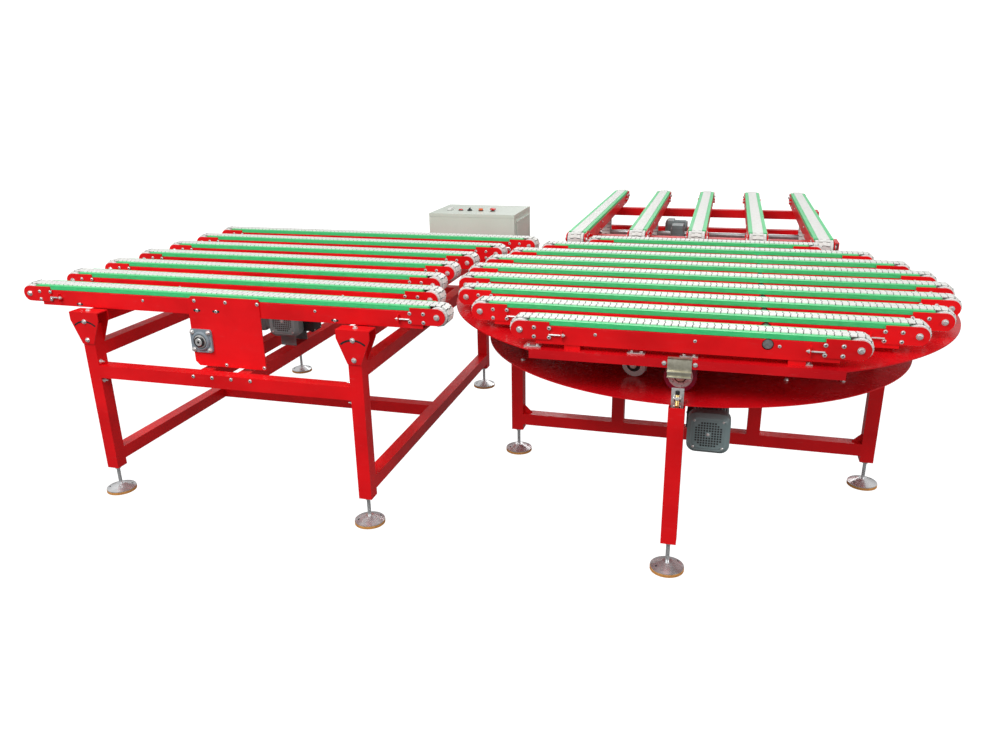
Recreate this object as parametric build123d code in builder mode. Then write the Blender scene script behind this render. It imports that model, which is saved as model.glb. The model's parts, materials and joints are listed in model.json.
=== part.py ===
from build123d import *
import math
import os

os.makedirs("parts", exist_ok=True)

# Slat chain and its nose wheels
slat_pitch = 25.4
slat_width = 60
slat_thickness = 4.4
slat_gap = 5.4
chain_top = 1000
wheel_teeth = 10
nose_wheel_radius = 40
nose_wheel_width = 96
nose_clearance = 0.6
axle_radius = 10
running_clearance = 0.08

# Cross-section of one strand
beam_width = 106
beam_height = 74
beam_wall = 3
beam_slot = 40
beam_edge = 5
guide_height = 18
guide_width = 33
guide_gap = 0.3
plate_height = 70
plate_length = 151
plate_thickness = 5
guide_setback = 38
beam_setback = 62

# Square tube and levelling feet
tube_side = 60
tube_wall = 3
leg_bottom = 132
foot_radius = 68
foot_rubber = 12
foot_dish = 24
foot_boss = 20
foot_screw_radius = 8

# Stand shared by the infeed and the outfeed conveyor
stand_length = 1319
leg_top = 840
low_rail = 190
side_rail = 722
end_rail = 622
tail_overhang = 353
bracket_width = 150
bracket_height = 148
bracket_plate = 5
leg_overhang = 104
motor_rail_offset = 10
motor_rail_spacing = 190

# Strand layout, all places measured from the turning axis of the table
infeed_count = 7
infeed_pitch = 267
infeed_tail = -3030
outfeed_count = 5
outfeed_pitch = 353
outfeed_shift = -39
outfeed_tail = 3260
table_count = 9
table_pitch = 221.6
table_tip_circle = 1100
swing_gap = 10
outer_strand_setback = 42

# Round table, the fixed track under it and their carriers
table_radius = 1115
table_top = 883
table_plate_thickness = 5
table_chord = 960
table_lip = 35
track_radius = 960
track_top = 708
track_thickness = 5
side_leg_reach = 852
end_leg_reach = 960
post_reach = 330
pivot_radius = 35
hub_radius = 70
hub_height = 60
caster_circle = 802
caster_radius = 62.5
caster_width = 40
caster_count = 4
caster_axle_radius = 8
track_gap = 0.3

# Drives
drive_height = 785
drive_shaft_radius = 17.5
sprocket_radius = 39
sprocket_width = 34
drive_plate_length = 355
drive_plate_height = 320
drive_plate_lead = 50
bearing_side = 106
bearing_depth = 18
gearbox_length = 130
gearbox_width = 96
gearbox_height = 150
motor_radius = 70
motor_length = 230
ring_radius = 470
ring_height = 40
ring_wall = 8
drive_wheel_radius = 60
drive_wheel_height = 50
drive_wheel_shaft = 14
table_motor_side = 166
table_motor_x = 120
table_motor_reach = 850

# Control cabinet beside the infeed
cabinet_length = 560
cabinet_depth = 420
cabinet_height = 230
cabinet_x = -1700
cabinet_y = 1050
cabinet_top = 1085
door_thickness = 20
door_gap = 1
cabinet_wall = 3
cabinet_rail = 40

# Fillings and fits
web_clearance = 3
dip_turn = 30
infeed_drive_shift = 7
outfeed_drive_shift = 130
table_drive = 300
transfer_y = 332
transfer_radius = 46
transfer_slot = 30
foot_rim = 4
pivot_end_gap = 3
pad_share = 0.62
fork_gap = 3
fork_wall = 4
fork_width = 95
fork_tip = 16
drive_plate_corner = 20
bearing_bore = 30
bearing_corner = 12
bearing_nose = 34
shaft_overhang = 8
gearbox_lead = 65
gearbox_corner = 10
turn_box_height = 70
gland_share = 0.8
gland_thickness = 6
cabinet_post_shares = (0.1, 0.5)
control_places = (90, 165, 225, 300, 380)
control_row = 150
control_stem = 8
button_travel = 5
latch_length = 90
latch_width = 26
latch_height = 12
sensor_height = 90
sensor_width = 46

nose_axle_height = chain_top - nose_wheel_radius - nose_clearance - slat_thickness
nose_slat = slat_thickness - nose_clearance
nose_reach = nose_wheel_radius + nose_clearance + nose_slat
guide_top = chain_top - slat_thickness - guide_gap
beam_top = guide_top - guide_height
beam_bottom = beam_top - beam_height
table_corner = math.hypot(
    math.sqrt(table_tip_circle**2 - ((table_count // 2) * table_pitch) ** 2),
    (table_count // 2) * table_pitch + beam_width / 2 + plate_thickness,
)
swing_radius = table_corner + swing_gap

# The origin lies on the floor, midway between the outermost pieces
table_x = -(infeed_tail + table_radius) / 2
table_y = -(outfeed_tail - end_leg_reach - foot_radius) / 2


def place(x, y, z=0):
    """A place given from the table's turning axis, in the frame of the whole line."""
    return (x + table_x, y + table_y, z)


def save(pieces, name):
    """Write the separate pieces of one node."""
    group = Compound([solid for piece in pieces for solid in piece.solids()])
    group.label = name
    export_step(group, f"parts/{name}.step")


def spread(count, pitch):
    return [(index - (count - 1) / 2) * pitch for index in range(count)]


class Strand:
    """One slat chain conveyor: its centre line, and the tips of its two noses."""

    def __init__(self, along, across, start, stop, drive):
        self.along = along
        self.across = across
        self.start = start
        self.stop = stop
        self.drive = drive
        self.first_axle = start + nose_reach
        self.last_axle = stop - nose_reach
        self.noses = ((self.first_axle, 1), (self.last_axle, -1))
        self.length = self.last_axle - self.first_axle
        self.middle = (self.last_axle + self.first_axle) / 2

    def side(self, lateral=0):
        """Side view: along the strand, and up."""
        if self.along == "x":
            return Plane(place(0, self.across + lateral), x_dir=(1, 0, 0), z_dir=(0, -1, 0))
        return Plane(place(self.across + lateral, 0), x_dir=(0, 1, 0), z_dir=(1, 0, 0))

    def section(self):
        """End view in the middle of the strand: across it, and up."""
        if self.along == "x":
            return Plane(place(self.middle, self.across), x_dir=(0, 1, 0), z_dir=(1, 0, 0))
        return Plane(place(self.across, self.middle), x_dir=(1, 0, 0), z_dir=(0, -1, 0))


def nose_on_circle(across, radius):
    inner_edge = max(0, abs(across) - beam_width / 2 - plate_thickness)
    return math.sqrt(radius**2 - inner_edge**2)


infeed_drive = (infeed_tail - swing_radius) / 2 + infeed_drive_shift
outfeed_drive = (outfeed_tail + swing_radius) / 2 + outfeed_drive_shift
infeed = []
for across in spread(infeed_count, infeed_pitch):
    is_outer = abs(across) > (infeed_count - 1.5) / 2 * infeed_pitch
    head = -nose_on_circle(across, swing_radius) - (outer_strand_setback if is_outer else 0)
    infeed.append(Strand("x", across, infeed_tail, head, infeed_drive))
table = []
for across in spread(table_count, table_pitch):
    tip = math.sqrt(table_tip_circle**2 - across**2)
    table.append(Strand("x", across, -tip, tip, table_drive))
outfeed = []
for across in spread(outfeed_count, outfeed_pitch):
    head = nose_on_circle(max(0, abs(across) - abs(outfeed_shift)), swing_radius)
    outfeed.append(Strand("y", across + outfeed_shift, head, outfeed_tail, outfeed_drive))
fixed = infeed + outfeed


def beam(strand):
    """Folded channel with inward lips, open along its top for the chain."""
    slot = beam_slot / 2
    half = beam_width / 2
    fold = half - beam_edge
    floor = beam_bottom + beam_wall
    right = [
        (slot, beam_top),
        (fold, beam_top),
        (half, beam_top - beam_edge),
        (half, beam_bottom),
    ]
    inside = [
        (-half + beam_wall, floor),
        (-half + beam_wall, beam_top - beam_edge),
        (-fold, beam_top - beam_wall),
        (-slot, beam_top - beam_wall),
    ]
    left = [(-x, y) for x, y in reversed(right)]
    other_inside = [(-x, y) for x, y in reversed(inside)]
    with BuildPart() as channel:
        with BuildSketch(strand.section()):
            with BuildLine():
                Polyline(*right, *left, *reversed(inside), *reversed(other_inside), close=True)
            make_face()
        extrude(amount=strand.length / 2 - beam_setback, both=True)
        with BuildSketch(strand.side()):
            if strand in table:
                with Locations((strand.drive, nose_axle_height)):
                    Circle(drive_shaft_radius + web_clearance)
            else:
                with Locations((strand.drive, beam_bottom)):
                    Rectangle(2 * dip_reach, 4 * beam_wall)
        cut = beam_width if strand in table else slat_width / 2 + web_clearance
        extrude(amount=cut, both=True, mode=Mode.SUBTRACT)
    return channel.part


def guides(strand):
    """Pair of plastic strips that carry the slats by their ends."""
    lateral = (beam_width - guide_width) / 2
    with BuildPart() as strips:
        with BuildSketch(strand.section()):
            with Locations((-lateral, guide_top - guide_height / 2), (lateral, guide_top - guide_height / 2)):
                Rectangle(guide_width, guide_height)
        extrude(amount=strand.length / 2 - guide_setback, both=True)
    return strips.part


def nose_plates(strand):
    """Two cheeks at each end, bolted outside the beam, round about the axle."""
    with BuildPart() as cheeks:
        with BuildSketch(strand.side()):
            for axle, inward in strand.noses:
                straight = plate_length - plate_height / 2
                with Locations((axle, nose_axle_height)):
                    Circle(plate_height / 2)
                with Locations((axle + inward * straight / 2, nose_axle_height)):
                    Rectangle(straight, plate_height)
        extrude(amount=beam_width / 2 + plate_thickness, both=True)
        with BuildSketch(strand.side()):
            with Locations((strand.middle, nose_axle_height)):
                Rectangle(strand.length + 4 * plate_height, 2 * plate_height)
        extrude(amount=beam_width / 2, both=True, mode=Mode.SUBTRACT)
    return cheeks.part


def nose_axles(strand):
    with BuildPart() as axles:
        with BuildSketch(strand.side()):
            with Locations(*[(axle, nose_axle_height) for axle, inward in strand.noses]):
                Circle(axle_radius)
        extrude(amount=beam_width / 2, both=True)
    return axles.part


def nose_wheel(strand, axle):
    with BuildPart() as wheel:
        with BuildSketch(strand.side()):
            with Locations((axle, nose_axle_height)):
                Circle(nose_wheel_radius)
                Circle(axle_radius + running_clearance, mode=Mode.SUBTRACT)
        extrude(amount=nose_wheel_width / 2, both=True)
    return wheel.part


dip_half = sprocket_radius + slat_thickness
dip_reach = dip_half + dip_turn + slat_pitch / 2


def chain(strand):
    """Loaded run, slats round both noses, and the return run with its dip to the sprocket."""
    return_height = 2 * nose_axle_height - chain_top + slat_thickness / 2
    loaded_height = chain_top - slat_thickness / 2
    step = 360 / wheel_teeth
    with BuildPart() as slats:
        with BuildSketch(strand.side()):
            with Locations((strand.middle, loaded_height)):
                Rectangle(strand.length, slat_thickness)
            for axle, inward in strand.noses:
                facing = 180 if inward > 0 else 0
                with Locations((axle, nose_axle_height)):
                    with PolarLocations(nose_reach - nose_slat / 2, 5, facing - 2 * step, 5 * step):
                        Rectangle(nose_slat, slat_pitch - slat_gap)
            if strand in table:
                with Locations((strand.middle, return_height)):
                    Rectangle(strand.length, slat_thickness)
            else:
                with BuildLine():
                    FilletPolyline(
                        (strand.first_axle, return_height),
                        (strand.drive - dip_half, return_height),
                        (strand.drive - dip_half, drive_height - dip_half),
                        (strand.drive + dip_half, drive_height - dip_half),
                        (strand.drive + dip_half, return_height),
                        (strand.last_axle, return_height),
                        radius=[dip_turn, dip_half - 0.1, dip_half - 0.1, dip_turn],
                    )
                trace(line_width=slat_thickness)
        extrude(amount=slat_width / 2, both=True)
    return slats.part


def save_each(name, strands, maker):
    save([maker(strand) for strand in strands], name)


save_each("strand_beams", fixed, beam)
save_each("table_beams", table, beam)
save_each("guide_strips", fixed, guides)
save_each("table_guide_strips", table, guides)
save_each("nose_plates", fixed, nose_plates)
save_each("table_nose_plates", table, nose_plates)
save_each("nose_axles", fixed, nose_axles)
save_each("table_nose_axles", table, nose_axles)
save_each("slat_chains", fixed, chain)
save_each("table_slat_chains", table, chain)

# Nose wheels on one axis turn together, so they share a node
save([nose_wheel(strand, strand.first_axle) for strand in infeed], "infeed_tail_wheels")
save([nose_wheel(strand, strand.last_axle) for strand in outfeed], "outfeed_tail_wheels")


def pairs(strands):
    """The strands by rank, outermost first: those of a pair end on one axis."""
    last = len(strands) - 1
    return [(rank + 1, {rank, last - rank}) for rank in range((last + 2) // 2)]


for rank, pair in pairs(infeed):
    save([nose_wheel(infeed[i], infeed[i].last_axle) for i in pair], f"infeed_head_wheels_{rank}")
for rank, pair in pairs(outfeed):
    save([nose_wheel(outfeed[i], outfeed[i].first_axle) for i in pair], f"outfeed_head_wheels_{rank}")
for rank, pair in pairs(table):
    save([nose_wheel(table[i], table[i].first_axle) for i in pair], f"table_left_wheels_{rank}")
    save([nose_wheel(table[i], table[i].last_axle) for i in pair], f"table_right_wheels_{rank}")

headings = {
    "x": ((0, 1, 0), (1, 0, 0)),
    "y": ((1, 0, 0), (0, 1, 0)),
    "z": ((1, 0, 0), (0, 0, 1)),
}


def tube(start, heading, length, side=tube_side):
    """Square tube from the middle of its first end; heading is x, y or z."""
    x_dir, z_dir = headings[heading]
    with BuildPart() as bar:
        with BuildSketch(Plane(place(*start), x_dir=x_dir, z_dir=z_dir)):
            Rectangle(side, side)
            Rectangle(side - 2 * tube_wall, side - 2 * tube_wall, mode=Mode.SUBTRACT)
        extrude(amount=length)
    return bar.part


class Stand:
    """Four-legged stand under fixed strands."""

    def __init__(self, along, centre, tail_leg, head_leg, half, drive):
        self.along = along
        self.centre = centre
        self.low = min(tail_leg, head_leg)
        self.high = max(tail_leg, head_leg)
        self.half = half
        self.drive = drive
        self.ends = (self.low, self.high)
        self.corners = [(end, side * half) for end in self.ends for side in (-1, 1)]

    def point(self, distance, lateral, height):
        if self.along == "x":
            return (distance, self.centre + lateral, height)
        return (self.centre + lateral, distance, height)

    def bar(self, distance, lateral, height, length, across=False):
        """Tube along the strands, or across them."""
        heading = self.along
        if across:
            heading = "y" if self.along == "x" else "x"
        return tube(self.point(distance, lateral, height), heading, length)

    def side(self, distance, lateral, height):
        x_dir = (1, 0, 0) if self.along == "x" else (0, 1, 0)
        z_dir = (0, -1, 0) if self.along == "x" else (1, 0, 0)
        return Plane(place(*self.point(distance, lateral, height)), x_dir=x_dir, z_dir=z_dir)


infeed_leg = infeed_tail + nose_reach + tail_overhang
outfeed_leg = outfeed_tail - nose_reach - tail_overhang
infeed_half = (infeed_count - 1) / 2 * infeed_pitch + leg_overhang
outfeed_half = (outfeed_count - 1) / 2 * outfeed_pitch + leg_overhang
infeed_stand = Stand("x", 0, infeed_leg, infeed_leg + stand_length, infeed_half, infeed_drive)
outfeed_stand = Stand(
    "y", outfeed_shift, outfeed_leg, outfeed_leg - stand_length, outfeed_half, outfeed_drive
)
stands = (infeed_stand, outfeed_stand)

legs = []
rails = []
for stand in stands:
    inner = stand.half - tube_side / 2
    for distance, lateral in stand.corners:
        legs.append(tube(stand.point(distance, lateral, leg_bottom), "z", leg_top - leg_bottom))
    for distance in stand.ends:
        rails.append(stand.bar(distance, -inner, low_rail, 2 * inner, across=True))
        rails.append(stand.bar(distance, -inner, side_rail, 2 * inner, across=True))
        clear = inner - bracket_plate
        height = beam_bottom - bracket_plate - tube_side / 2
        rails.append(stand.bar(distance, -clear, height, 2 * clear, across=True))
    for lateral, height in ((-stand.half, end_rail), (stand.half, end_rail), (0, low_rail)):
        begin = stand.low + tube_side / 2
        rails.append(stand.bar(begin, lateral, height, stand_length - tube_side))
    for step in (0, motor_rail_spacing):
        distance = stand.drive + motor_rail_offset + step
        rails.append(stand.bar(distance, -inner, end_rail, 2 * inner, across=True))

def cabinet_posts():
    """Two posts on the rear rail of the infeed stand, each with an arm under the cabinet."""
    rail_height = end_rail + tube_side / 2
    arm_height = cabinet_top - cabinet_height - cabinet_rail / 2
    posts = []
    for share in cabinet_post_shares:
        x = cabinet_x + share * cabinet_length
        y = infeed_half
        post_length = arm_height - cabinet_rail / 2 - rail_height
        posts.append(tube((x, y, rail_height), "z", post_length, cabinet_rail))
        arm_length = cabinet_y + cabinet_depth - y + cabinet_rail / 2
        posts.append(tube((x, y - cabinet_rail / 2, arm_height), "y", arm_length, cabinet_rail))
    return posts


save(legs, "stand_legs")
save(rails + cabinet_posts(), "stand_rails")


def fan_bracket(stand, distance, lateral):
    """Welded bracket: two cheeks clamp the leg, and their top carries the strands."""
    with BuildPart() as bracket:
        with BuildSketch(stand.side(distance, lateral, beam_bottom)):
            with BuildLine():
                Polyline(
                    (-bracket_width / 2, 0),
                    (bracket_width / 2, 0),
                    (bracket_width / 2, -bracket_height / 4),
                    (tube_side / 2, -bracket_height),
                    (-tube_side / 2, -bracket_height),
                    (-bracket_width / 2, -bracket_height / 4),
                    close=True,
                )
            make_face()
        extrude(amount=tube_side / 2 + bracket_plate, both=True)
        with BuildSketch(stand.side(distance, lateral, beam_bottom)):
            with Locations((0, -bracket_plate - bracket_height / 2)):
                Rectangle(2 * bracket_width, bracket_height)
        extrude(amount=tube_side / 2, both=True, mode=Mode.SUBTRACT)
    return bracket.part


save([fan_bracket(stand, *corner) for stand in stands for corner in stand.corners], "fan_brackets")

table_legs_at = [(side_leg_reach, 0), (-side_leg_reach, 0), (0, end_leg_reach), (0, -end_leg_reach)]
stand_feet_at = [stand.point(*corner, 0)[:2] for stand in stands for corner in stand.corners]
feet_at = table_legs_at + stand_feet_at


def foot_rubber_ring(x, y):
    with BuildPart() as ring:
        with BuildSketch(Plane(place(x, y))):
            Circle(foot_radius)
        extrude(amount=foot_rubber)
    return ring.part


def foot_screw(x, y):
    """Dished steel foot with its levelling screw."""
    with BuildPart() as foot:
        with BuildSketch(Plane(place(x, y, foot_rubber), x_dir=(1, 0, 0), z_dir=(0, -1, 0))):
            with BuildLine():
                Polyline(
                    (0, 0),
                    (foot_radius - 1, 0),
                    (foot_radius - 1, foot_rim),
                    (foot_boss, foot_dish),
                    (foot_screw_radius, foot_dish),
                    (foot_screw_radius, leg_bottom - foot_rubber),
                    (0, leg_bottom - foot_rubber),
                    close=True,
                )
            make_face()
        revolve(axis=Axis(place(x, y), (0, 0, 1)))
    return foot.part


save([foot_rubber_ring(*foot) for foot in feet_at], "foot_rubbers")
save([foot_screw(*foot) for foot in feet_at], "foot_screws")

track_bottom = track_top - track_thickness
plate_bottom = table_top - table_plate_thickness
base_reach = side_leg_reach - tube_side / 2
post_bottom = low_rail + tube_side / 2
base_beams = [tube((x, y, leg_bottom), "z", track_bottom - leg_bottom) for x, y in table_legs_at]
base_beams.append(tube((-base_reach, 0, low_rail), "x", 2 * base_reach))
for x in (-post_reach, post_reach):
    base_beams.append(tube((x, 0, post_bottom), "z", track_bottom - post_bottom))
save(base_beams, "table_base")

drive_wheel_reach = ring_radius + drive_wheel_radius + track_gap
drive_wheel_y = -math.sqrt(drive_wheel_reach**2 - table_motor_x**2)
with BuildPart() as track_disc:
    with BuildSketch(Plane(place(0, 0, track_bottom))):
        Circle(track_radius)
        with Locations((table_motor_x, drive_wheel_y)):
            Circle(drive_wheel_shaft + web_clearance, mode=Mode.SUBTRACT)
    extrude(amount=track_thickness)
save([track_disc.part], "track_disc")

with BuildPart() as pivot_post:
    with BuildSketch(Plane(place(0, 0, track_top))):
        Circle(pivot_radius)
    extrude(amount=plate_bottom - pivot_end_gap - track_top)
save([pivot_post.part], "pivot_post")

with BuildPart() as table_plate:
    with BuildSketch(Plane(place(0, 0, plate_bottom))):
        Circle(table_radius)
        Rectangle(2 * table_radius, 2 * table_chord, mode=Mode.INTERSECT)
        with Locations((table_drive, transfer_y)):
            Rectangle(2 * transfer_radius + web_clearance, transfer_slot, mode=Mode.SUBTRACT)
    extrude(amount=table_plate_thickness)
    lip_length = 2 * math.sqrt(table_radius**2 - table_chord**2)
    with BuildSketch(Plane(place(0, 0, plate_bottom))):
        with GridLocations(0, 2 * table_chord - table_plate_thickness, 1, 2):
            Rectangle(lip_length, table_plate_thickness)
    extrude(amount=table_plate_thickness - table_lip)
    with BuildSketch(Plane(place(0, 0, plate_bottom))):
        Circle(ring_radius)
        Circle(ring_radius - ring_wall, mode=Mode.SUBTRACT)
    extrude(amount=-ring_height)
    with BuildSketch(Plane(place(0, 0, plate_bottom))):
        Circle(hub_radius)
        Circle(pivot_radius + running_clearance, mode=Mode.SUBTRACT)
    extrude(amount=-hub_height)
save([table_plate.part], "table_plate")


def support_pads(strand):
    """Blocks that hold a table beam clear of the round plate."""
    with BuildPart() as pads:
        with BuildSketch(Plane(place(0, strand.across, table_top))):
            with GridLocations(2 * pad_share * strand.stop, 0, 2, 1):
                Rectangle(tube_side, beam_width - 2 * beam_edge)
        extrude(amount=beam_bottom - table_top)
    return pads.part


save_each("table_supports", table, support_pads)

# Casters hang from the table and roll round on the track disc
caster_axle_height = track_top + track_gap + caster_radius
caster_angles = [index * 360 / caster_count for index in range(caster_count)]


def caster_plane(angle, reach):
    """Plane whose normal points outwards from the turning axis."""
    turn = math.radians(angle)
    outward = (math.cos(turn), math.sin(turn), 0)
    across = (-math.sin(turn), math.cos(turn), 0)
    centre = place(reach * outward[0], reach * outward[1], caster_axle_height)
    return Plane(centre, x_dir=across, z_dir=outward)


def caster_fork(angle):
    """Folded fork with its axle bolt across it."""
    head = plate_bottom - caster_axle_height
    inner = caster_width / 2 + fork_gap
    with BuildPart() as fork:
        with BuildSketch(caster_plane(angle, caster_circle)):
            with BuildLine():
                Polyline(
                    (-fork_width / 2, head),
                    (-fork_tip, -fork_tip),
                    (fork_tip, -fork_tip),
                    (fork_width / 2, head),
                    close=True,
                )
            make_face()
        extrude(amount=inner + fork_wall, both=True)
        with BuildSketch(caster_plane(angle, caster_circle)):
            with Locations((0, head - fork_wall - caster_radius * 2)):
                Rectangle(fork_width * 2, caster_radius * 4)
        extrude(amount=inner, both=True, mode=Mode.SUBTRACT)
        with BuildSketch(caster_plane(angle, caster_circle)):
            Circle(caster_axle_radius)
        extrude(amount=inner, both=True)
    return fork.part


def caster_wheel(angle):
    with BuildPart() as wheel:
        with BuildSketch(caster_plane(angle, caster_circle)):
            Circle(caster_radius)
            Circle(caster_axle_radius + running_clearance, mode=Mode.SUBTRACT)
        extrude(amount=caster_width / 2, both=True)
    return wheel.part


save([caster_fork(angle) for angle in caster_angles], "caster_forks")
for number, angle in enumerate(caster_angles, 1):
    save([caster_wheel(angle)], f"caster_wheel_{number}")


def across_reach(strands):
    """Outer faces of the outermost strands, from their common middle."""
    return (strands[-1].across - strands[0].across + beam_width) / 2


def drive_plane(strands, lateral=0):
    """Side view at the drive shaft, at a place across the strands."""
    first = strands[0]
    centre = (strands[0].across + strands[-1].across) / 2
    origin = place(first.drive, centre + lateral, drive_height)
    if first.along == "x":
        return Plane(origin, x_dir=(1, 0, 0), z_dir=(0, -1, 0))
    origin = place(centre + lateral, first.drive, drive_height)
    return Plane(origin, x_dir=(0, 1, 0), z_dir=(1, 0, 0))


def drive_shaft(strands, height, end):
    """Shaft right across the strands, with a ten-sided chain wheel under each."""
    with BuildPart() as shaft:
        with BuildSketch(drive_plane(strands).offset(0)) as profile:
            with Locations((0, height - drive_height)):
                Circle(drive_shaft_radius)
        extrude(amount=end, both=True)
        for strand in strands:
            with BuildSketch(strand.side()):
                with Locations((strand.drive, height)):
                    RegularPolygon(sprocket_radius, wheel_teeth)
            extrude(amount=sprocket_width / 2, both=True)
    return shaft.part


def drive_plates(strands):
    """Pair of plates on the outer faces of the line's outer strands; they carry the bearings."""
    face = across_reach(strands)
    plates = []
    for side in (-1, 1):
        with BuildPart() as plate:
            with BuildSketch(drive_plane(strands, side * (face + plate_thickness / 2))):
                middle = drive_plate_length / 2 - drive_plate_lead
                top = guide_top - drive_height - guide_height / 2
                with Locations((middle, top - drive_plate_height / 2)):
                    Rectangle(drive_plate_length, drive_plate_height)
                chamfer(vertices().group_by(Axis.X)[0].group_by(Axis.Z)[0], drive_plate_corner)
                Circle(bearing_bore, mode=Mode.SUBTRACT)
            extrude(amount=plate_thickness / 2, both=True)
        plates.append(plate.part)
    return plates


def flange_bearings(strands):
    """Square four-bolt bearings on the drive plates."""
    face = across_reach(strands) + plate_thickness
    bearings = []
    for side in (-1, 1):
        with BuildPart() as bearing:
            with BuildSketch(drive_plane(strands, side * (face + bearing_depth / 4))):
                Rectangle(bearing_side, bearing_side)
                fillet(vertices(), bearing_corner)
                Circle(drive_shaft_radius + running_clearance, mode=Mode.SUBTRACT)
            extrude(amount=bearing_depth / 4, both=True)
            with BuildSketch(drive_plane(strands, side * (face + bearing_depth * 3 / 4))):
                Circle(bearing_nose)
                Circle(drive_shaft_radius + running_clearance, mode=Mode.SUBTRACT)
            extrude(amount=bearing_depth / 4, both=True)
        bearings.append(bearing.part)
    return bearings


def gearmotor(strands, lateral):
    """Gearbox slipped on the drive shaft, and its motor beside it along the strands."""
    with BuildPart() as unit:
        with BuildSketch(drive_plane(strands, lateral)):
            with Locations((gearbox_length / 2 - gearbox_lead, 0)):
                Rectangle(gearbox_length, gearbox_height)
                fillet(vertices(), gearbox_corner)
            Circle(drive_shaft_radius + running_clearance, mode=Mode.SUBTRACT)
        extrude(amount=gearbox_width / 2, both=True)
        side_view = drive_plane(strands, lateral)
        start = side_view.from_local_coords((gearbox_length - gearbox_lead, 0, 0))
        with BuildSketch(Plane(start, z_dir=side_view.x_dir)):
            Circle(motor_radius)
        extrude(amount=motor_length)
    return unit.part


shaft_end = plate_thickness + bearing_depth + shaft_overhang
save([drive_shaft(infeed, drive_height, across_reach(infeed) + shaft_end)], "infeed_drive_shaft")
save([drive_shaft(outfeed, drive_height, across_reach(outfeed) + shaft_end)], "outfeed_drive_shaft")
table_shaft_end = across_reach(table) - beam_wall - web_clearance
save([drive_shaft(table, nose_axle_height, table_shaft_end)], "table_drive_shaft")
save(drive_plates(infeed) + drive_plates(outfeed), "drive_plates")
save(flange_bearings(infeed) + flange_bearings(outfeed), "flange_bearings")
motors = [gearmotor(infeed, -1.5 * infeed_pitch), gearmotor(outfeed, -0.5 * outfeed_pitch)]
save(motors, "gearmotors")

# Motor that turns the table: it lies under the track, its wheel presses on the ring above
motor_back = drive_wheel_y + gearbox_width / 2
motor_top = track_bottom - turn_box_height
with BuildPart() as turn_motor:
    box_height = turn_box_height + table_motor_side / 2
    with BuildSketch(Plane(place(table_motor_x, drive_wheel_y, track_bottom - box_height / 2))):
        Rectangle(table_motor_side * 0.8, gearbox_width)
    extrude(amount=box_height / 2, both=True)
    front = -table_motor_reach
    centre = place(table_motor_x, front, motor_top - table_motor_side / 2)
    with BuildSketch(Plane(centre, x_dir=(1, 0, 0), z_dir=(0, -1, 0))):
        Rectangle(table_motor_side, table_motor_side)
        fillet(vertices(), table_motor_side / 4)
    extrude(amount=front - drive_wheel_y)
save([turn_motor.part], "turn_gearmotor")

ring_middle = plate_bottom - ring_height / 2
with BuildPart() as drive_wheel:
    with BuildSketch(Plane(place(table_motor_x, drive_wheel_y, track_bottom + web_clearance))):
        Circle(drive_wheel_shaft)
    extrude(amount=ring_middle - track_bottom - web_clearance)
    with BuildSketch(Plane(place(table_motor_x, drive_wheel_y, ring_middle))):
        Circle(drive_wheel_radius)
    extrude(amount=ring_height / 2 - web_clearance, both=True)
save([drive_wheel.part], "turn_drive_wheel")

# Control cabinet lying on its back, door and buttons on top
box_top = cabinet_top - door_thickness - door_gap
box_bottom = cabinet_top - cabinet_height
cabinet_middle = (cabinet_x + cabinet_length / 2, cabinet_y + cabinet_depth / 2)
with BuildPart() as cabinet_box:
    with BuildSketch(Plane(place(*cabinet_middle, box_bottom))):
        Rectangle(cabinet_length, cabinet_depth)
    extrude(amount=box_top - box_bottom)
    with BuildSketch(Plane(place(*cabinet_middle, box_bottom + cabinet_wall))):
        Rectangle(cabinet_length - 2 * cabinet_wall, cabinet_depth - 2 * cabinet_wall)
    extrude(amount=box_top - box_bottom, mode=Mode.SUBTRACT)
    with BuildSketch(Plane(place(cabinet_x + cabinet_length, cabinet_middle[1], box_bottom), z_dir=(1, 0, 0), x_dir=(0, 1, 0))):
        with Locations((0, (box_top - box_bottom) / 2)):
            Rectangle(cabinet_depth * gland_share, (box_top - box_bottom) * gland_share)
    extrude(amount=gland_thickness)
save([cabinet_box.part], "cabinet_box")

with BuildPart() as cabinet_door:
    with BuildSketch(Plane(place(*cabinet_middle, box_top + door_gap))):
        Rectangle(cabinet_length, cabinet_depth)
        for x in control_places:
            with Locations((cabinet_x + x - cabinet_middle[0], control_row - cabinet_depth / 2)):
                Circle(control_stem + running_clearance, mode=Mode.SUBTRACT)
    extrude(amount=door_thickness)
save([cabinet_door.part], "cabinet_door")


def control(place_across, head_radius, head_height, skirt):
    """Button: stem through the door and a round head above it."""
    spot = place(cabinet_x + place_across, cabinet_y + control_row, cabinet_top)
    with BuildPart() as button:
        with BuildSketch(Plane(spot).offset(-door_thickness + 2)):
            Circle(control_stem)
        extrude(amount=door_thickness - 2 + skirt)
        with BuildSketch(Plane(spot).offset(skirt)):
            Circle(head_radius)
        extrude(amount=head_height)
    return button.part


latch_at, pilot_at, selector_at, push_at, stop_at = control_places
save([control(pilot_at, 14, 10, 0)], "pilot_lamp")
save([control(selector_at, 14, 18, 1)], "selector_switch")
save([control(push_at, 14, 10, button_travel + 1)], "push_button")
save([control(stop_at, 20, 14, button_travel + 1)], "emergency_stop")
with BuildPart() as latch_handle:
    spot = place(cabinet_x + latch_at, cabinet_y + control_row, cabinet_top)
    with BuildSketch(Plane(spot).offset(-door_thickness + 2)):
        Circle(control_stem)
    extrude(amount=door_thickness - 1)
    with BuildSketch(Plane(spot).offset(1)):
        with Locations((0, latch_length / 4)):
            SlotOverall(latch_length, latch_width, rotation=90)
    extrude(amount=latch_height)
save([latch_handle.part], "latch_handle")

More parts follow.
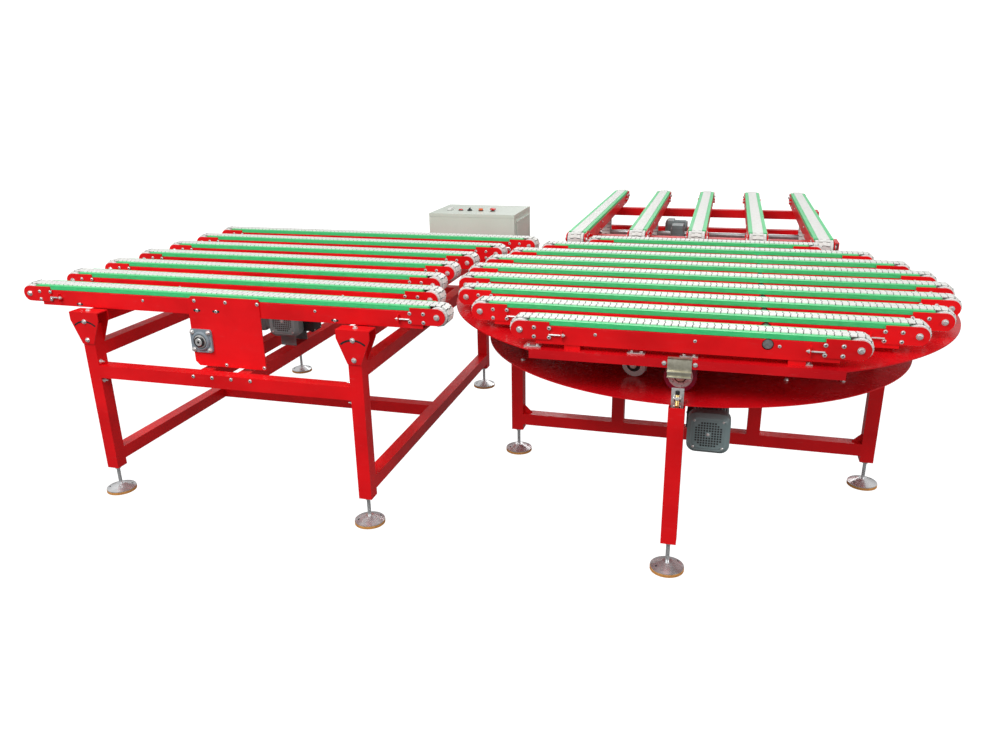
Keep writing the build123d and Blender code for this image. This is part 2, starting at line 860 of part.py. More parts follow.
# Sensor on its angle at the rim of the track, above the front leg
with BuildPart() as sensor:
    face = -track_radius - 2
    with BuildSketch(Plane(place(0, face, track_bottom - 20), x_dir=(1, 0, 0), z_dir=(0, -1, 0))):
        with Locations((0, sensor_height / 2)):
            Rectangle(sensor_width, sensor_height)
    extrude(amount=2, both=True)
save([sensor.part], "turn_sensor")
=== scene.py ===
import json
import math
import random
from dataclasses import dataclass
from itertools import product

import bmesh
import bpy
from mathutils import Matrix, Vector


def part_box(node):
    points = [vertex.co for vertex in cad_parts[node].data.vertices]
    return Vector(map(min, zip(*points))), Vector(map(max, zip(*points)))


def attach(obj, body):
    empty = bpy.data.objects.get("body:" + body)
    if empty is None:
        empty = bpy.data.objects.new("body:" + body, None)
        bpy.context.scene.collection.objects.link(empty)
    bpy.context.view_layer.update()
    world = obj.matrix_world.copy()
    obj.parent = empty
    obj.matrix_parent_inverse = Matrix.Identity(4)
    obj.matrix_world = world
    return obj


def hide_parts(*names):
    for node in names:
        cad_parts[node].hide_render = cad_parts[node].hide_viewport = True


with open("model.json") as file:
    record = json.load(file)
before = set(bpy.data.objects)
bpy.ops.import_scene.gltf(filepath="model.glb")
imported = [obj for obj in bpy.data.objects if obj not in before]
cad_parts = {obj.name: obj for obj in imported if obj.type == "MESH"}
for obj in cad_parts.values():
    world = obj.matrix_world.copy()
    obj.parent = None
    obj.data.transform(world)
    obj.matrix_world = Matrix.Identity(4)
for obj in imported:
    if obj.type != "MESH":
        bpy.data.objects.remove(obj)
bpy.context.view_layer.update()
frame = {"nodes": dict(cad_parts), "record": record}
random.seed(7)


def middle(low, high):
    """Point halfway between two corners."""
    return [(a + b) / 2 for a, b in zip(low, high)]


# Places in metres, from the frame. The turning axis of the table is that of its pivot post
turn_x, turn_y = middle(*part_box("pivot_post"))[:2]
chain_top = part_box("slat_chains")[1][2]
track_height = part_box("track_disc")[1][2]
door_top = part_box("cabinet_door")[1][2]

# Sizes of one strand
slat_pitch = 0.0254
slat_length = 0.0220
slat_thickness = 0.0044
slat_over_guide = 0.0047
guide_depth = 0.018
beam_depth = 0.074
beam_width = 0.106
beam_bottom = chain_top - slat_over_guide - guide_depth - beam_depth
cheek = 0.005
nose_reach = 0.0444
nose_drop = 0.045
nose_height = chain_top - nose_drop
drive_height = 0.785
sprocket_radius = 0.039
sprocket_gap = 0.0014

# Round table, its casters and the stands
beam_to_plate = 0.0203
plate_thickness = 0.005
table_height = beam_bottom - beam_to_plate
plate_under = table_height - plate_thickness
caster_circle = 0.802
caster_radius = 0.0625
caster_gap = 0.0003
leg_bottom = 0.132

# Camera, measured from the turning axis of the table
camera_place = (0.12036, -3.81716, 1.82240)
camera_yaw = 15.6923
camera_pitch = 19.5436
camera_roll = -0.8784
camera_lens = 28.9935


def at(x, y, z=0.0):
    """A place given from the turning axis of the table."""
    return Vector((x + turn_x, y + turn_y, z))


# Materials


def new_material(name):
    material = bpy.data.materials.new(name)
    material.use_nodes = True
    tree = material.node_tree
    shader = tree.nodes["Principled BSDF"]
    return material, tree, shader


def add(tree, kind, **values):
    """New node, with its inputs or its properties set by name."""
    node = tree.nodes.new(kind)
    for key, value in values.items():
        if key in node.inputs:
            node.inputs[key].default_value = value
        else:
            setattr(node, key, value)
    return node


def object_coordinates(tree, scale=(1, 1, 1)):
    coordinates = add(tree, "ShaderNodeTexCoord")
    mapping = add(tree, "ShaderNodeMapping", Scale=scale)
    tree.links.new(coordinates.outputs["Object"], mapping.inputs["Vector"])
    return mapping.outputs["Vector"]


def noise(tree, vector, scale, detail=4.0, roughness=0.55):
    node = add(tree, "ShaderNodeTexNoise", Scale=scale, Detail=detail, Roughness=roughness)
    tree.links.new(vector, node.inputs["Vector"])
    return node.outputs["Fac"]


def ramp(tree, value, stops):
    node = add(tree, "ShaderNodeValToRGB")
    for element, (position, colour) in zip(node.color_ramp.elements, stops):
        element.position = position
        element.color = (*colour, 1)
    tree.links.new(value, node.inputs["Fac"])
    return node.outputs["Color"]


def level(tree, value, low, high, start, end):
    """Value between start and end, spread from low to high."""
    node = add(tree, "ShaderNodeMapRange")
    node.inputs["From Min"].default_value = start
    node.inputs["From Max"].default_value = end
    node.inputs["To Min"].default_value = low
    node.inputs["To Max"].default_value = high
    tree.links.new(value, node.inputs["Value"])
    return node.outputs["Result"]


def bump(tree, shader, value, distance, strength):
    node = add(tree, "ShaderNodeBump", Strength=strength, Distance=distance)
    tree.links.new(value, node.inputs["Height"])
    tree.links.new(node.outputs["Normal"], shader.inputs["Normal"])


def mix(tree, factor, first, colour):
    """First colour with a fixed one laid over it by a factor."""
    node = add(tree, "ShaderNodeMix", data_type="RGBA")
    sockets = {socket.name: socket for socket in node.inputs if socket.enabled}
    tree.links.new(factor, sockets["Factor"])
    tree.links.new(first, sockets["A"])
    sockets["B"].default_value = (*colour, 1)
    return [socket for socket in node.outputs if socket.enabled][0]


def painted(name, colour, shade, rough, grime=0.25):
    """Gloss paint: slight waviness, dull patches, and dust in a few places."""
    material, tree, shader = new_material(name)
    vector = object_coordinates(tree)
    broad = noise(tree, vector, 3.0, 5.0)
    fine = noise(tree, vector, 900.0, 2.0)
    smears = noise(tree, object_coordinates(tree, (9, 9, 40)), 1.6, 6.0, 0.7)
    tint = ramp(tree, broad, [(0.35, shade), (0.62, colour)])
    dust = level(tree, smears, 0.0, grime, 0.62, 0.85)
    dusty = tuple(0.55 * c + 0.16 for c in colour)
    tree.links.new(mix(tree, dust, tint, dusty), shader.inputs["Base Color"])
    tree.links.new(level(tree, smears, rough, rough + 0.2, 0.35, 0.8), shader.inputs["Roughness"])
    shader.inputs["Coat Weight"].default_value = 0.1
    shader.inputs["Specular IOR Level"].default_value = 0.32
    shader.inputs["Coat Roughness"].default_value = 0.12
    bump(tree, shader, fine, 0.0002, 0.35)
    return material


def plastic(name, colour, shade, rough, scale=60.0, stretch=(1, 1, 1)):
    """Moulded plastic or rubber with faint marks."""
    material, tree, shader = new_material(name)
    marks = noise(tree, object_coordinates(tree, stretch), scale, 6.0, 0.65)
    tint = ramp(tree, marks, [(0.3, shade), (0.6, colour)])
    tree.links.new(tint, shader.inputs["Base Color"])
    dull = level(tree, marks, rough - 0.08, rough + 0.12, 0.3, 0.7)
    tree.links.new(dull, shader.inputs["Roughness"])
    bump(tree, shader, marks, 0.0003, 0.4)
    return material


def metal(name, colour, shade, rough, scale=80.0, metallic=1.0):
    """Bare or plated metal with cloudy patches."""
    material, tree, shader = new_material(name)
    marks = noise(tree, object_coordinates(tree), scale, 6.0, 0.6)
    tint = ramp(tree, marks, [(0.3, shade), (0.65, colour)])
    tree.links.new(tint, shader.inputs["Base Color"])
    shader.inputs["Metallic"].default_value = metallic
    dull = level(tree, marks, rough, rough + 0.18, 0.3, 0.75)
    tree.links.new(dull, shader.inputs["Roughness"])
    bump(tree, shader, marks, 0.00015, 0.4)
    return material


# Name, colour, darker shade and roughness, then what the kind of material takes besides
slot_materials = {
    "red_paint": painted("red_paint", (0.88, 0.004, 0.008), (0.68, 0.002, 0.005), 0.30),
    "green_plastic": plastic(
        "green_plastic", (0.06, 0.66, 0.22), (0.04, 0.52, 0.17), 0.34, 30, (1, 1, 6)
    ),
    "white_slats": plastic("white_slats", (0.80, 0.80, 0.77), (0.66, 0.66, 0.62), 0.38, 45),
    "white_wheel": plastic("white_wheel", (0.78, 0.78, 0.76), (0.64, 0.64, 0.61), 0.32, 35),
    "crimson_tyre": plastic("crimson_tyre", (0.34, 0.008, 0.05), (0.25, 0.006, 0.035), 0.3, 40),
    "zinc_steel": metal("zinc_steel", (0.74, 0.71, 0.58), (0.54, 0.51, 0.38), 0.28, 60, 0.75),
    "sensor_steel": metal("bright_steel", (0.86, 0.86, 0.85), (0.70, 0.70, 0.68), 0.24, 90, 0.7),
    "turned_steel": metal("turned_steel", (0.62, 0.62, 0.62), (0.45, 0.45, 0.45), 0.3, 90),
    "plated_steel": metal("plated_steel", (0.82, 0.83, 0.84), (0.66, 0.67, 0.68), 0.20, 25, 0.8),
    "orange_rubber": plastic("orange_rubber", (0.74, 0.34, 0.09), (0.55, 0.23, 0.05), 0.6, 50),
    "motor_grey": painted("motor_grey", (0.27, 0.34, 0.345), (0.20, 0.27, 0.275), 0.34, 0.2),
    "bearing_grey": painted("bearing_grey", (0.25, 0.30, 0.34), (0.18, 0.22, 0.25), 0.38, 0.2),
    "drive_tyre": plastic("drive_tyre", (0.035, 0.034, 0.033), (0.02, 0.02, 0.02), 0.6, 90),
    "cabinet_grey": painted("cabinet_grey", (0.62, 0.67, 0.60), (0.56, 0.61, 0.54), 0.36, 0.12),
    "lamp_red": plastic("lamp_red", (0.62, 0.02, 0.02), (0.45, 0.01, 0.01), 0.12, 50),
    "stop_red": plastic("stop_red", (0.66, 0.012, 0.012), (0.5, 0.01, 0.01), 0.2, 50),
    "button_orange": plastic("button_orange", (0.85, 0.14, 0.03), (0.7, 0.1, 0.02), 0.2, 50),
    "black_plastic": plastic(
        "black_plastic", (0.022, 0.022, 0.023), (0.012, 0.012, 0.013), 0.35, 70
    ),
    "latch_white": plastic("latch_white", (0.80, 0.80, 0.77), (0.7, 0.7, 0.67), 0.3, 50),
}
table_red = painted("table_red", (0.78, 0.007, 0.012), (0.55, 0.003, 0.008), 0.18, 0.5)
joint_grey = metal("joint_grey", (0.10, 0.10, 0.10), (0.05, 0.05, 0.05), 0.4, 60, 0.5)
brass = metal("brass_sensor", (0.78, 0.56, 0.24), (0.60, 0.40, 0.14), 0.22, 60)

for part in frame["record"]["subparts"]:
    node = frame["nodes"][part["node"]]
    node.data.materials.clear()
    node.data.materials.append(slot_materials[part["material_slot"]])
for name in ("table_plate", "track_disc"):
    frame["nodes"][name].data.materials[0] = table_red

# Matrices and outlines


def facing(place, normal, turn=0.0):
    """Matrix that puts local Z along a direction."""
    heading = Vector(normal).to_track_quat("Z", "Y").to_matrix().to_4x4()
    return Matrix.Translation(Vector(place)) @ heading @ Matrix.Rotation(turn, 4, "Z")


def axes(x_axis, y_axis, z_axis, origin):
    """Matrix with the given local axes and origin."""
    matrix = Matrix((x_axis, y_axis, z_axis)).transposed().to_4x4()
    matrix.translation = origin
    return matrix


def raised(matrix, height):
    """The same matrix, moved along its own Z axis."""
    return matrix @ Matrix.Translation((0, 0, height))


def local_z(matrix):
    """Direction of a matrix's own Z axis."""
    return (matrix.to_3x3() @ Vector((0, 0, 1))).normalized()


def polar(radius, angle):
    """Point at a radius and an angle in radians."""
    return radius * math.cos(angle), radius * math.sin(angle)


def polygon(radius, count):
    """Regular outline: a hexagon, or a circle when the count is high."""
    return [polar(radius, 2 * math.pi * index / count) for index in range(count)]


def arc(centre, radius, start, end, steps):
    """Points on an arc between two angles in degrees."""
    points = []
    for index in range(steps + 1):
        x, y = polar(radius, math.radians(start + (end - start) * index / steps))
        points.append((centre[0] + x, centre[1] + y))
    return points


def rounded_square(half, corner, steps=6):
    outline = []
    for x, y, start in ((1, 1, 0), (-1, 1, 90), (-1, -1, 180), (1, -1, 270)):
        centre = (x * (half - corner), y * (half - corner))
        outline += arc(centre, corner, start, start + 90, steps)
    return outline


def toothed(radius, count, tooth):
    """Round outline; a tooth is a row of (share of a step, reach) that repeats all round."""
    outline = []
    for index in range(count):
        for share, reach in tooth:
            outline.append(polar(radius + reach, 2 * math.pi * (index + share) / count))
    return outline


# Solids added to a mesh


def ring(mesh_data, outline, height, matrix):
    """Corners of an outline at a height along local Z."""
    return [mesh_data.verts.new(matrix @ Vector((x, y, height))) for x, y in outline]


def bridge(mesh_data, rings):
    """Faces between closed rings; a ring of one corner is a tip."""
    for lower, upper in zip(rings, rings[1:]):
        count = max(len(lower), len(upper))
        for index in range(count):
            after = (index + 1) % count
            if len(lower) == 1:
                face = (lower[0], upper[after], upper[index])
            elif len(upper) == 1:
                face = (lower[index], lower[after], upper[0])
            else:
                face = (lower[index], lower[after], upper[after], upper[index])
            mesh_data.faces.new(face)


def cap(mesh_data, rings):
    """Faces over the first and the last ring."""
    for end in (rings[0][::-1], rings[-1]):
        if len(end) > 1:
            mesh_data.faces.new(end)


def turned_rings(mesh_data, profile, matrix, segments):
    """Joined rings of a profile of (radius, height) turned about local Z."""
    rings = []
    for radius, height in profile:
        outline = polygon(radius, segments) if radius else [(0, 0)]
        rings.append(ring(mesh_data, outline, height, matrix))
    bridge(mesh_data, rings)
    return rings


def lathe(mesh_data, profile, matrix, segments=16):
    """Turned shape with its ends closed; the profile runs from the bottom up."""
    cap(mesh_data, turned_rings(mesh_data, profile, matrix, segments))


def lathe_ring(mesh_data, profile, matrix, segments=24):
    """Turned shape without end faces."""
    turned_rings(mesh_data, profile, matrix, segments)


def rod(mesh_data, radius, start, end, matrix, segments):
    """Cylinder between two heights along local Z."""
    lathe(mesh_data, [(radius, start), (radius, end)], matrix, segments)


def prism(mesh_data, outline, depth, matrix, edge=0.0):
    """Flat outline in local XY, raised along local Z, its upper edge bevelled inwards."""
    centre = Vector([sum(values) / len(outline) for values in zip(*outline)])
    levels = [(0.0, 0.0), (depth - edge, 0.0)]
    if edge:
        levels.append((depth, edge))
    rings = []
    for height, inset in levels:
        inner = []
        for point in outline:
            offset = Vector(point) - centre
            inner.append(centre + offset * (1 - inset / max(offset.length, 1e-6)))
        rings.append(ring(mesh_data, inner, height, matrix))
    bridge(mesh_data, rings)
    cap(mesh_data, rings)


def box(mesh_data, first, second, edge=0.0):
    """Box between two opposite corners, bevelled all round when edge is given."""
    spans = [sorted(pair) for pair in zip(first, second)]
    verts = [mesh_data.verts.new((x, y, z)) for z, y, x in product(*reversed(spans))]
    quads = ((0, 2, 3, 1), (4, 5, 7, 6), (0, 1, 5, 4), (2, 6, 7, 3), (0, 4, 6, 2), (1, 3, 7, 5))
    faces = [mesh_data.faces.new([verts[i] for i in quad]) for quad in quads]
    if edge:
        edges = list(dict.fromkeys(e for f in faces for e in f.edges))
        bevel = {"offset": edge, "segments": 2, "affect": "EDGES", "profile": 0.6}
        bmesh.ops.bevel(mesh_data, geom=edges, **bevel)


def finished(mesh_data, name, body, slot, material=None):
    """Object from a bmesh, riding on a body, in the material of its slot or a given one."""
    mesh = bpy.data.meshes.new(name)
    mesh_data.to_mesh(mesh)
    mesh_data.free()
    piece = bpy.data.objects.new(name, mesh)
    bpy.context.scene.collection.objects.link(piece)
    mesh.materials.append(material or slot_materials[slot])
    for face in mesh.polygons:
        face.use_smooth = True
    mesh.set_sharp_from_angle(angle=math.radians(30))
    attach(piece, body)
    return piece


# Small parts are collected by body, so that each body carries one mesh of each kind
fasteners = {"stand": bmesh.new(), "table": bmesh.new()}
# Holds black parts such as seals and collars, and also dark sheets standing for the shade inside
# sockets, slots and perforations: painted shade.
black_parts_and_painted_shade = {"stand": bmesh.new(), "table": bmesh.new()}
red_parts = {"stand": bmesh.new(), "table": bmesh.new()}


def hex_bolt(body, place, normal, radius=0.0065, stub=0.0):
    """Hexagon head on a washer, with a little of the thread showing when stub is given."""
    matrix = facing(place, normal, random.uniform(0, math.pi / 3))
    washer = 0.0014
    head = radius * 0.85
    top = washer + head
    steel = fasteners[body]
    rod(steel, radius * 1.35, -0.0005, washer, matrix, 14)
    prism(steel, polygon(radius, 6), head, raised(matrix, washer), radius * 0.18)
    if stub:
        rod(steel, radius * 0.5, top - 0.0002, top + stub, matrix, 10)


def socket_bolt(body, place, normal, radius=0.0065):
    """Round head on a washer, with a dark disc on it as painted shade of its socket."""
    matrix = facing(place, normal)
    top = radius * 0.72
    profile = [
        (radius * 1.3, -0.0005), (radius * 1.3, 0.0012), (radius * 0.95, 0.0013),
        (radius * 0.92, radius * 0.6), (radius * 0.78, top),
    ]
    lathe(fasteners[body], profile, matrix, 14)
    # Dark disc on the head: painted shade of the socket recess.
    rod(black_parts_and_painted_shade[body], radius * 0.5, top - 0.0004, top + 0.0002, matrix, 6)


def round_screw(body, place, normal, radius):
    """Low round head with a socket."""
    profile = [
        (radius, -0.0005), (radius, radius * 0.35), (radius * 0.72, radius * 0.66),
        (radius * 0.4, radius * 0.7), (radius * 0.36, radius * 0.35), (0, radius * 0.35),
    ]
    lathe(fasteners[body], profile, facing(place, normal), 14)


def painted_slot_shade(body, place, normal, along, length, width):
    """Long slot in a plate, drawn as a thin dark strip standing on it: painted shade of its
    inside.
    """
    normal = Vector(normal)
    along = Vector(along)
    half = (length - width) / 2
    outline = arc((half, 0), width / 2, -90, 90, 6) + arc((-half, 0), width / 2, 90, 270, 6)
    prism(black_parts_and_painted_shade[body], outline, 0.0005, axes(along, normal.cross(along), normal, place))


# Strands and lines


@dataclass
class Run:
    """Something long that lies along x or y, with places given along, across and up."""

    along: str
    across: float

    def plan(self, distance, lateral):
        return (distance, lateral) if self.along == "x" else (lateral, distance)

    def point(self, distance, lateral, height):
        return at(*self.plan(distance, self.across + lateral), height)

    def direction(self, distance, lateral, height):
        return Vector((*self.plan(distance, lateral), height))

    def sides(self):
        """Both sides, each as a sign and as the direction that it faces."""
        return [(side, self.direction(0, side, 0)) for side in (-1, 1)]


@dataclass
class Strand(Run):
    """One slat chain on its beam between two nose axles, with its drive where it dips."""

    group: str
    body: str
    first: float
    last: float
    dip: float = None

    def ends(self):
        """Both nose axles, each with the sign of the way inwards."""
        return (self.first, 1), (self.last, -1)


@dataclass
class Line(Run):
    """Infeed or outfeed as a whole: its sides, its drive and its legs."""

    half_width: float
    drive: float
    legs: tuple
    leg_half: float

    def step(self):
        """Sign of the way from the first leg to the second."""
        return 1 if self.legs[1] > self.legs[0] else -1


infeed_pitch = 0.267
outfeed_pitch = 0.353
table_pitch = 0.2216
outfeed_shift = -0.039
infeed_tail = -2.9856
outfeed_tail = 3.2156
infeed_drive = -2.0866
outfeed_drive = 2.3386
# Nose axles beside the round table, from the outer strand to the middle one
infeed_heads = (-0.9737, -1.0993, -1.1827, -1.2017)
outfeed_heads = (1.0285, 1.1730, 1.2017)
table_halves = (0.6070, 0.8319, 0.9624, 1.0330, 1.0556)

strands = []
for index in range(-3, 4):
    head = infeed_heads[3 - abs(index)]
    across = index * infeed_pitch
    strands.append(Strand("x", across, "infeed", "stand", infeed_tail, head, infeed_drive))
for index in range(-4, 5):
    half = table_halves[4 - abs(index)]
    strands.append(Strand("x", index * table_pitch, "table", "table", -half, half))
for index in range(-2, 3):
    head = outfeed_heads[2 - abs(index)]
    across = outfeed_shift + index * outfeed_pitch
    strands.append(Strand("y", across, "outfeed", "stand", head, outfeed_tail, outfeed_drive))

lines = {
    "infeed": Line("x", 0.0, 0.859, infeed_drive, (-2.6326, -1.3136), 0.905),
    "outfeed": Line("y", outfeed_shift, 0.764, outfeed_drive, (2.8626, 1.5436), 0.810),
}

# Slat chains


def chain_line(strand):
    """Middle line of the slats, as points along the strand and up, closed."""
    reach = nose_reach - slat_thickness / 2
    bottom = nose_height - reach
    line = arc((strand.last, nose_height), reach, 90, -90, 24)
    if strand.dip:
        turn = sprocket_radius + slat_thickness / 2 + sprocket_gap
        bend = 0.030
        fold = turn + bend
        line += arc((strand.dip + fold, bottom - bend), bend, 90, 180, 8)
        line += arc((strand.dip, drive_height), turn, 0, -180, 16)
        line += arc((strand.dip - fold, bottom - bend), bend, 0, 90, 8)
    return line + arc((strand.first, nose_height), reach, -90, -270, 24)


def walk(line, pitch):
    """Places and headings at equal steps round a closed line, as near the pitch as fits."""
    closed = line + line[:1]
    lengths = [0.0]
    for a, b in zip(closed, closed[1:]):
        lengths.append(lengths[-1] + math.dist(a, b))
    total = lengths[-1]
    count = round(total / pitch)
    stops = []
    segment = 0
    for index in range(count):
        distance = total * index / count
        while lengths[segment + 1] < distance:
            segment += 1
        a = closed[segment]
        b = closed[segment + 1]
        span = lengths[segment + 1] - lengths[segment]
        share = (distance - lengths[segment]) / span if span else 0.0
        x = a[0] + (b[0] - a[0]) * share
        z = a[1] + (b[1] - a[1]) * share
        stops.append((x, z, math.atan2(b[1] - a[1], b[0] - a[0])))
    return stops


def slat_template():
    """One moulded slat, local X along the chain, Z out of it, with fingers at its ends."""
    half = slat_length / 2
    finger = 0.0032
    front = []
    back = []
    for index, lateral in enumerate((-0.030, -0.0105, -0.0085, 0.0085, 0.0105, 0.030)):
        reach = finger if index in (2, 3) else 0.0
        front.append((half + reach, lateral))
        back.append((-half + reach, lateral))
    data = bmesh.new()
    lowered = Matrix.Translation((0, 0, -slat_thickness / 2))
    prism(data, front + back[::-1], slat_thickness, lowered, 0.0008)
    return data


def joint_template():
    """Dark hinge barrel between two slats, level with their lower faces."""
    data = bmesh.new()
    matrix = facing((slat_pitch / 2, -0.029, -0.0004), (0, 1, 0))
    profile = [(0.0016, 0.0), (0.0020, 0.0006), (0.0020, 0.0574), (0.0016, 0.058)]
    lathe(data, profile, matrix, 8)
    return data


def make_chain(strand, template):
    """Copies of a template mesh at every slat of a strand."""
    data = bmesh.new()
    lateral = strand.direction(0, 1, 0)
    for x, z, heading in walk(chain_line(strand), slat_pitch):
        forward = strand.direction(math.cos(heading), 0, math.sin(heading))
        outward = strand.direction(-math.sin(heading), 0, math.cos(heading))
        copy = template.copy()
        copy.transform(axes(forward, lateral, outward, strand.point(x, 0, z)))
        data.from_mesh(copy)
        bpy.data.meshes.remove(copy)
    bmesh.ops.recalc_face_normals(data, faces=data.faces)
    return data


def build_chains():
    """Slats and joints of every strand."""
    templates = {}
    for name, data in (("slat", slat_template()), ("joint", joint_template())):
        templates[name] = bpy.data.meshes.new(name)
        data.to_mesh(templates[name])
        data.free()
    nodes = {"infeed": "slat_chains", "outfeed": "slat_chains", "table": "table_slat_chains"}
    for group, node in nodes.items():
        for number, strand in enumerate([s for s in strands if s.group == group], 1):
            data = make_chain(strand, templates["slat"])
            piece = finished(data, f"{group}_chain_{number}", strand.body, "white_slats")
            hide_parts(node)
            data = make_chain(strand, templates["joint"])
            name = f"{group}_joints_{number}"
            finished(data, name, strand.body, "turned_steel", joint_grey)
    for template in templates.values():
        bpy.data.meshes.remove(template)


# Fittings of beams, brackets and drives


def build_nose_fittings():
    """Bolts of the nose plates, and the lugs whose long bolts tighten the chain."""
    face = beam_width / 2 + cheek
    bolt_backs = (0.057, 0.116)
    bolt_heights = (0.967, 0.931)
    lug_back = 0.162
    lug_thickness = 0.005
    lug_height = 0.037
    lug_low = beam_bottom + 0.020
    lug_reach = face + 0.011
    tension_line = face + 0.003
    middle_height = lug_low + lug_height / 2
    for strand in strands:
        body = strand.body
        for (axle, inward), (side, normal) in product(strand.ends(), strand.sides()):
            heading = strand.direction(inward, 0, 0)
            for back, height in product(bolt_backs, bolt_heights):
                spot = strand.point(axle + inward * back, side * face, height)
                socket_bolt(body, spot, normal, 0.0062)
            hex_bolt(body, strand.point(axle, side * face, nose_height), normal, 0.0095)
            lug = axle + inward * lug_back
            lug_end = lug + inward * lug_thickness
            low = strand.point(lug, side * beam_width / 2, lug_low)
            high = strand.point(lug_end, side * lug_reach, lug_low + lug_height)
            box(red_parts[body], low, high, 0.001)
            spot = strand.point(lug_end, side * tension_line, middle_height)
            hex_bolt(body, spot, heading, 0.0065, 0.004)
            plate_end = axle + inward * bolt_backs[1]
            start = strand.point(plate_end, side * tension_line, middle_height)
            rod(fasteners[body], 0.0036, 0.0, abs(lug - plate_end), facing(start, heading), 8)


def build_web_fittings():
    """Slots and screws in the sides of the beams."""
    face = beam_width / 2
    screw_height = 0.951
    slot_height = 0.9155
    for strand in strands:
        if strand.group == "table":
            reach = strand.last - strand.first
            screws = [strand.first + share * reach for share in (0.24, 0.54, 0.78)]
            slots = []
        else:
            line = lines[strand.group]
            step = line.step()
            screws = [line.legs[0] + step * 0.26, line.legs[1] - step * 0.205]
            slots = [line.legs[0] - step * 0.087, line.legs[1] - step * 0.116]
        along = strand.direction(1, 0, 0)
        for side, normal in strand.sides():
            for distance in screws:
                spot = strand.point(distance, side * face, screw_height)
                socket_bolt(strand.body, spot, normal, 0.005)
            for distance in slots:
                spot = strand.point(distance, side * face, slot_height)
                painted_slot_shade(strand.body, spot, normal, along, 0.034, 0.009)
                socket_bolt(strand.body, spot, normal, 0.0058)


def painted_arc_slot_shade(mesh_data, inner, outer, start, end, matrix):
    """Curved slot in a plate, as a thin dark strip between two radii: painted shade of the slot.
    """
    steps = 16
    lift = 0.0005
    rows = []
    for radius in (inner, outer):
        rows.append(ring(mesh_data, arc((0, 0), radius, start, end, steps), lift, matrix))
    for index in range(steps):
        after = index + 1
        quad = (rows[0][index], rows[0][after], rows[1][after], rows[1][index])
        mesh_data.faces.new(quad)


def build_bracket_fittings():
    """Pivot bolt, arc slot and clamping bolt of each fan bracket, and the bolt on its top."""
    bracket_half = 0.035
    pivot_height = beam_bottom - 0.129
    clamp_radius = 0.086
    slot_half = 0.004
    bolt_radius = 0.0085
    inner = clamp_radius - slot_half
    outer = clamp_radius + slot_half
    for line in lines.values():
        for leg, side in product(line.legs, (-1, 1)):
            for face, normal in line.sides():
                lateral = side * line.leg_half + face * bracket_half
                pivot = line.point(leg, lateral, pivot_height)
                clamp = line.point(leg, lateral, pivot_height + clamp_radius)
                hex_bolt("stand", pivot, normal, bolt_radius)
                hex_bolt("stand", clamp, normal, bolt_radius)
                matrix = axes(line.direction(1, 0, 0), Vector((0, 0, 1)), normal, pivot)
                painted_arc_slot_shade(black_parts_and_painted_shade["stand"], inner, outer, 50, 130, matrix)
            top = line.point(leg, side * line.leg_half, beam_bottom)
            hex_bolt("stand", top, (0, 0, 1), bolt_radius)


def build_bearing(castings, line, side, normal):
    """Housing, bolts, lock ring, seal, collar and shaft end of one flange bearing."""
    face = side * line.half_width
    steel = fasteners["stand"]
    dark = black_parts_and_painted_shade["stand"]
    corners = list(product((-0.040, 0.040), repeat=2))
    for ahead, above in corners:
        spot = line.point(line.drive + ahead, face + side * 0.011, drive_height + above)
        hex_bolt("stand", spot, normal, 0.0085, 0.004)
    nose = facing(line.point(line.drive, face + side * 0.018, drive_height), normal)
    casting = [
        (0.044, -0.0095), (0.0435, -0.004), (0.0385, 0.001), (0.033, 0.0014), (0.0325, -0.0005),
    ]
    lathe_ring(castings, casting, nose, 36)
    for ahead, above in corners:
        spot = line.point(line.drive + ahead, face + side * 0.0085, drive_height + above)
        lathe(castings, [(0.0125, 0), (0.0115, 0.0025)], facing(spot, normal), 18)
    lock_ring = [
        (0.03, -0.0005), (0.03, 0.0018), (0.027, 0.0026), (0.0215, 0.0026), (0.02, 0.0005),
    ]
    lathe_ring(steel, lock_ring, nose)
    lathe_ring(dark, [(0.0335, -0.0004), (0.0335, 0.0009), (0.0300, 0.0009)], nose)
    collar = [(0.0240, -0.0004), (0.0240, 0.0100), (0.0220, 0.0115), (0.0180, 0.0115)]
    lathe_ring(dark, collar, nose)
    lathe(steel, [(0.0172, 0.0070), (0.0172, 0.0125), (0.0160, 0.0135)], nose, 24)
    rod(dark, 0.0060, 0.0130, 0.0139, nose, 12)


def build_drive_fittings():
    """Bolts and slots of the drive plates, their bearings, and the bolts of the rails."""
    plate_bolts = [(-0.015, 0.966), (0.141, 0.966), (0.297, 0.966), (0.108, 0.677), (0.297, 0.677)]
    slot_height = 0.9225
    rail_height = 0.640
    rail_bolts = [0.125 + (index - 1.5) * 0.095 for index in range(4)]
    flange_height = 0.622
    castings = bmesh.new()
    for line in lines.values():
        for side, normal in line.sides():
            face = side * line.half_width
            for ahead, height in plate_bolts:
                socket_bolt("stand", line.point(line.drive + ahead, face, height), normal)
            for ahead in (-0.007, 0.089):
                spot = line.point(line.drive + ahead, face, slot_height)
                painted_slot_shade("stand", spot, normal, line.direction(1, 0, 0), 0.036, 0.010)
                socket_bolt("stand", spot, normal, 0.0062)
            build_bearing(castings, line, side, normal)
            rail_face = side * (line.leg_half + 0.030)
            for ahead in rail_bolts:
                spot = line.point(line.drive + ahead, rail_face, rail_height)
                socket_bolt("stand", spot, normal)
            lateral = side * (line.leg_half + 0.014)
            for leg, inward in zip(line.legs, (line.step(), -line.step())):
                for height in (flange_height - 0.046, flange_height + 0.046):
                    spot = line.point(leg + inward * 0.030, lateral, height)
                    hex_bolt("stand", spot, line.direction(inward, 0, 0), 0.0075, 0.012)
    finished(castings, "bearing_castings", "stand", "bearing_grey")


# Gearmotors


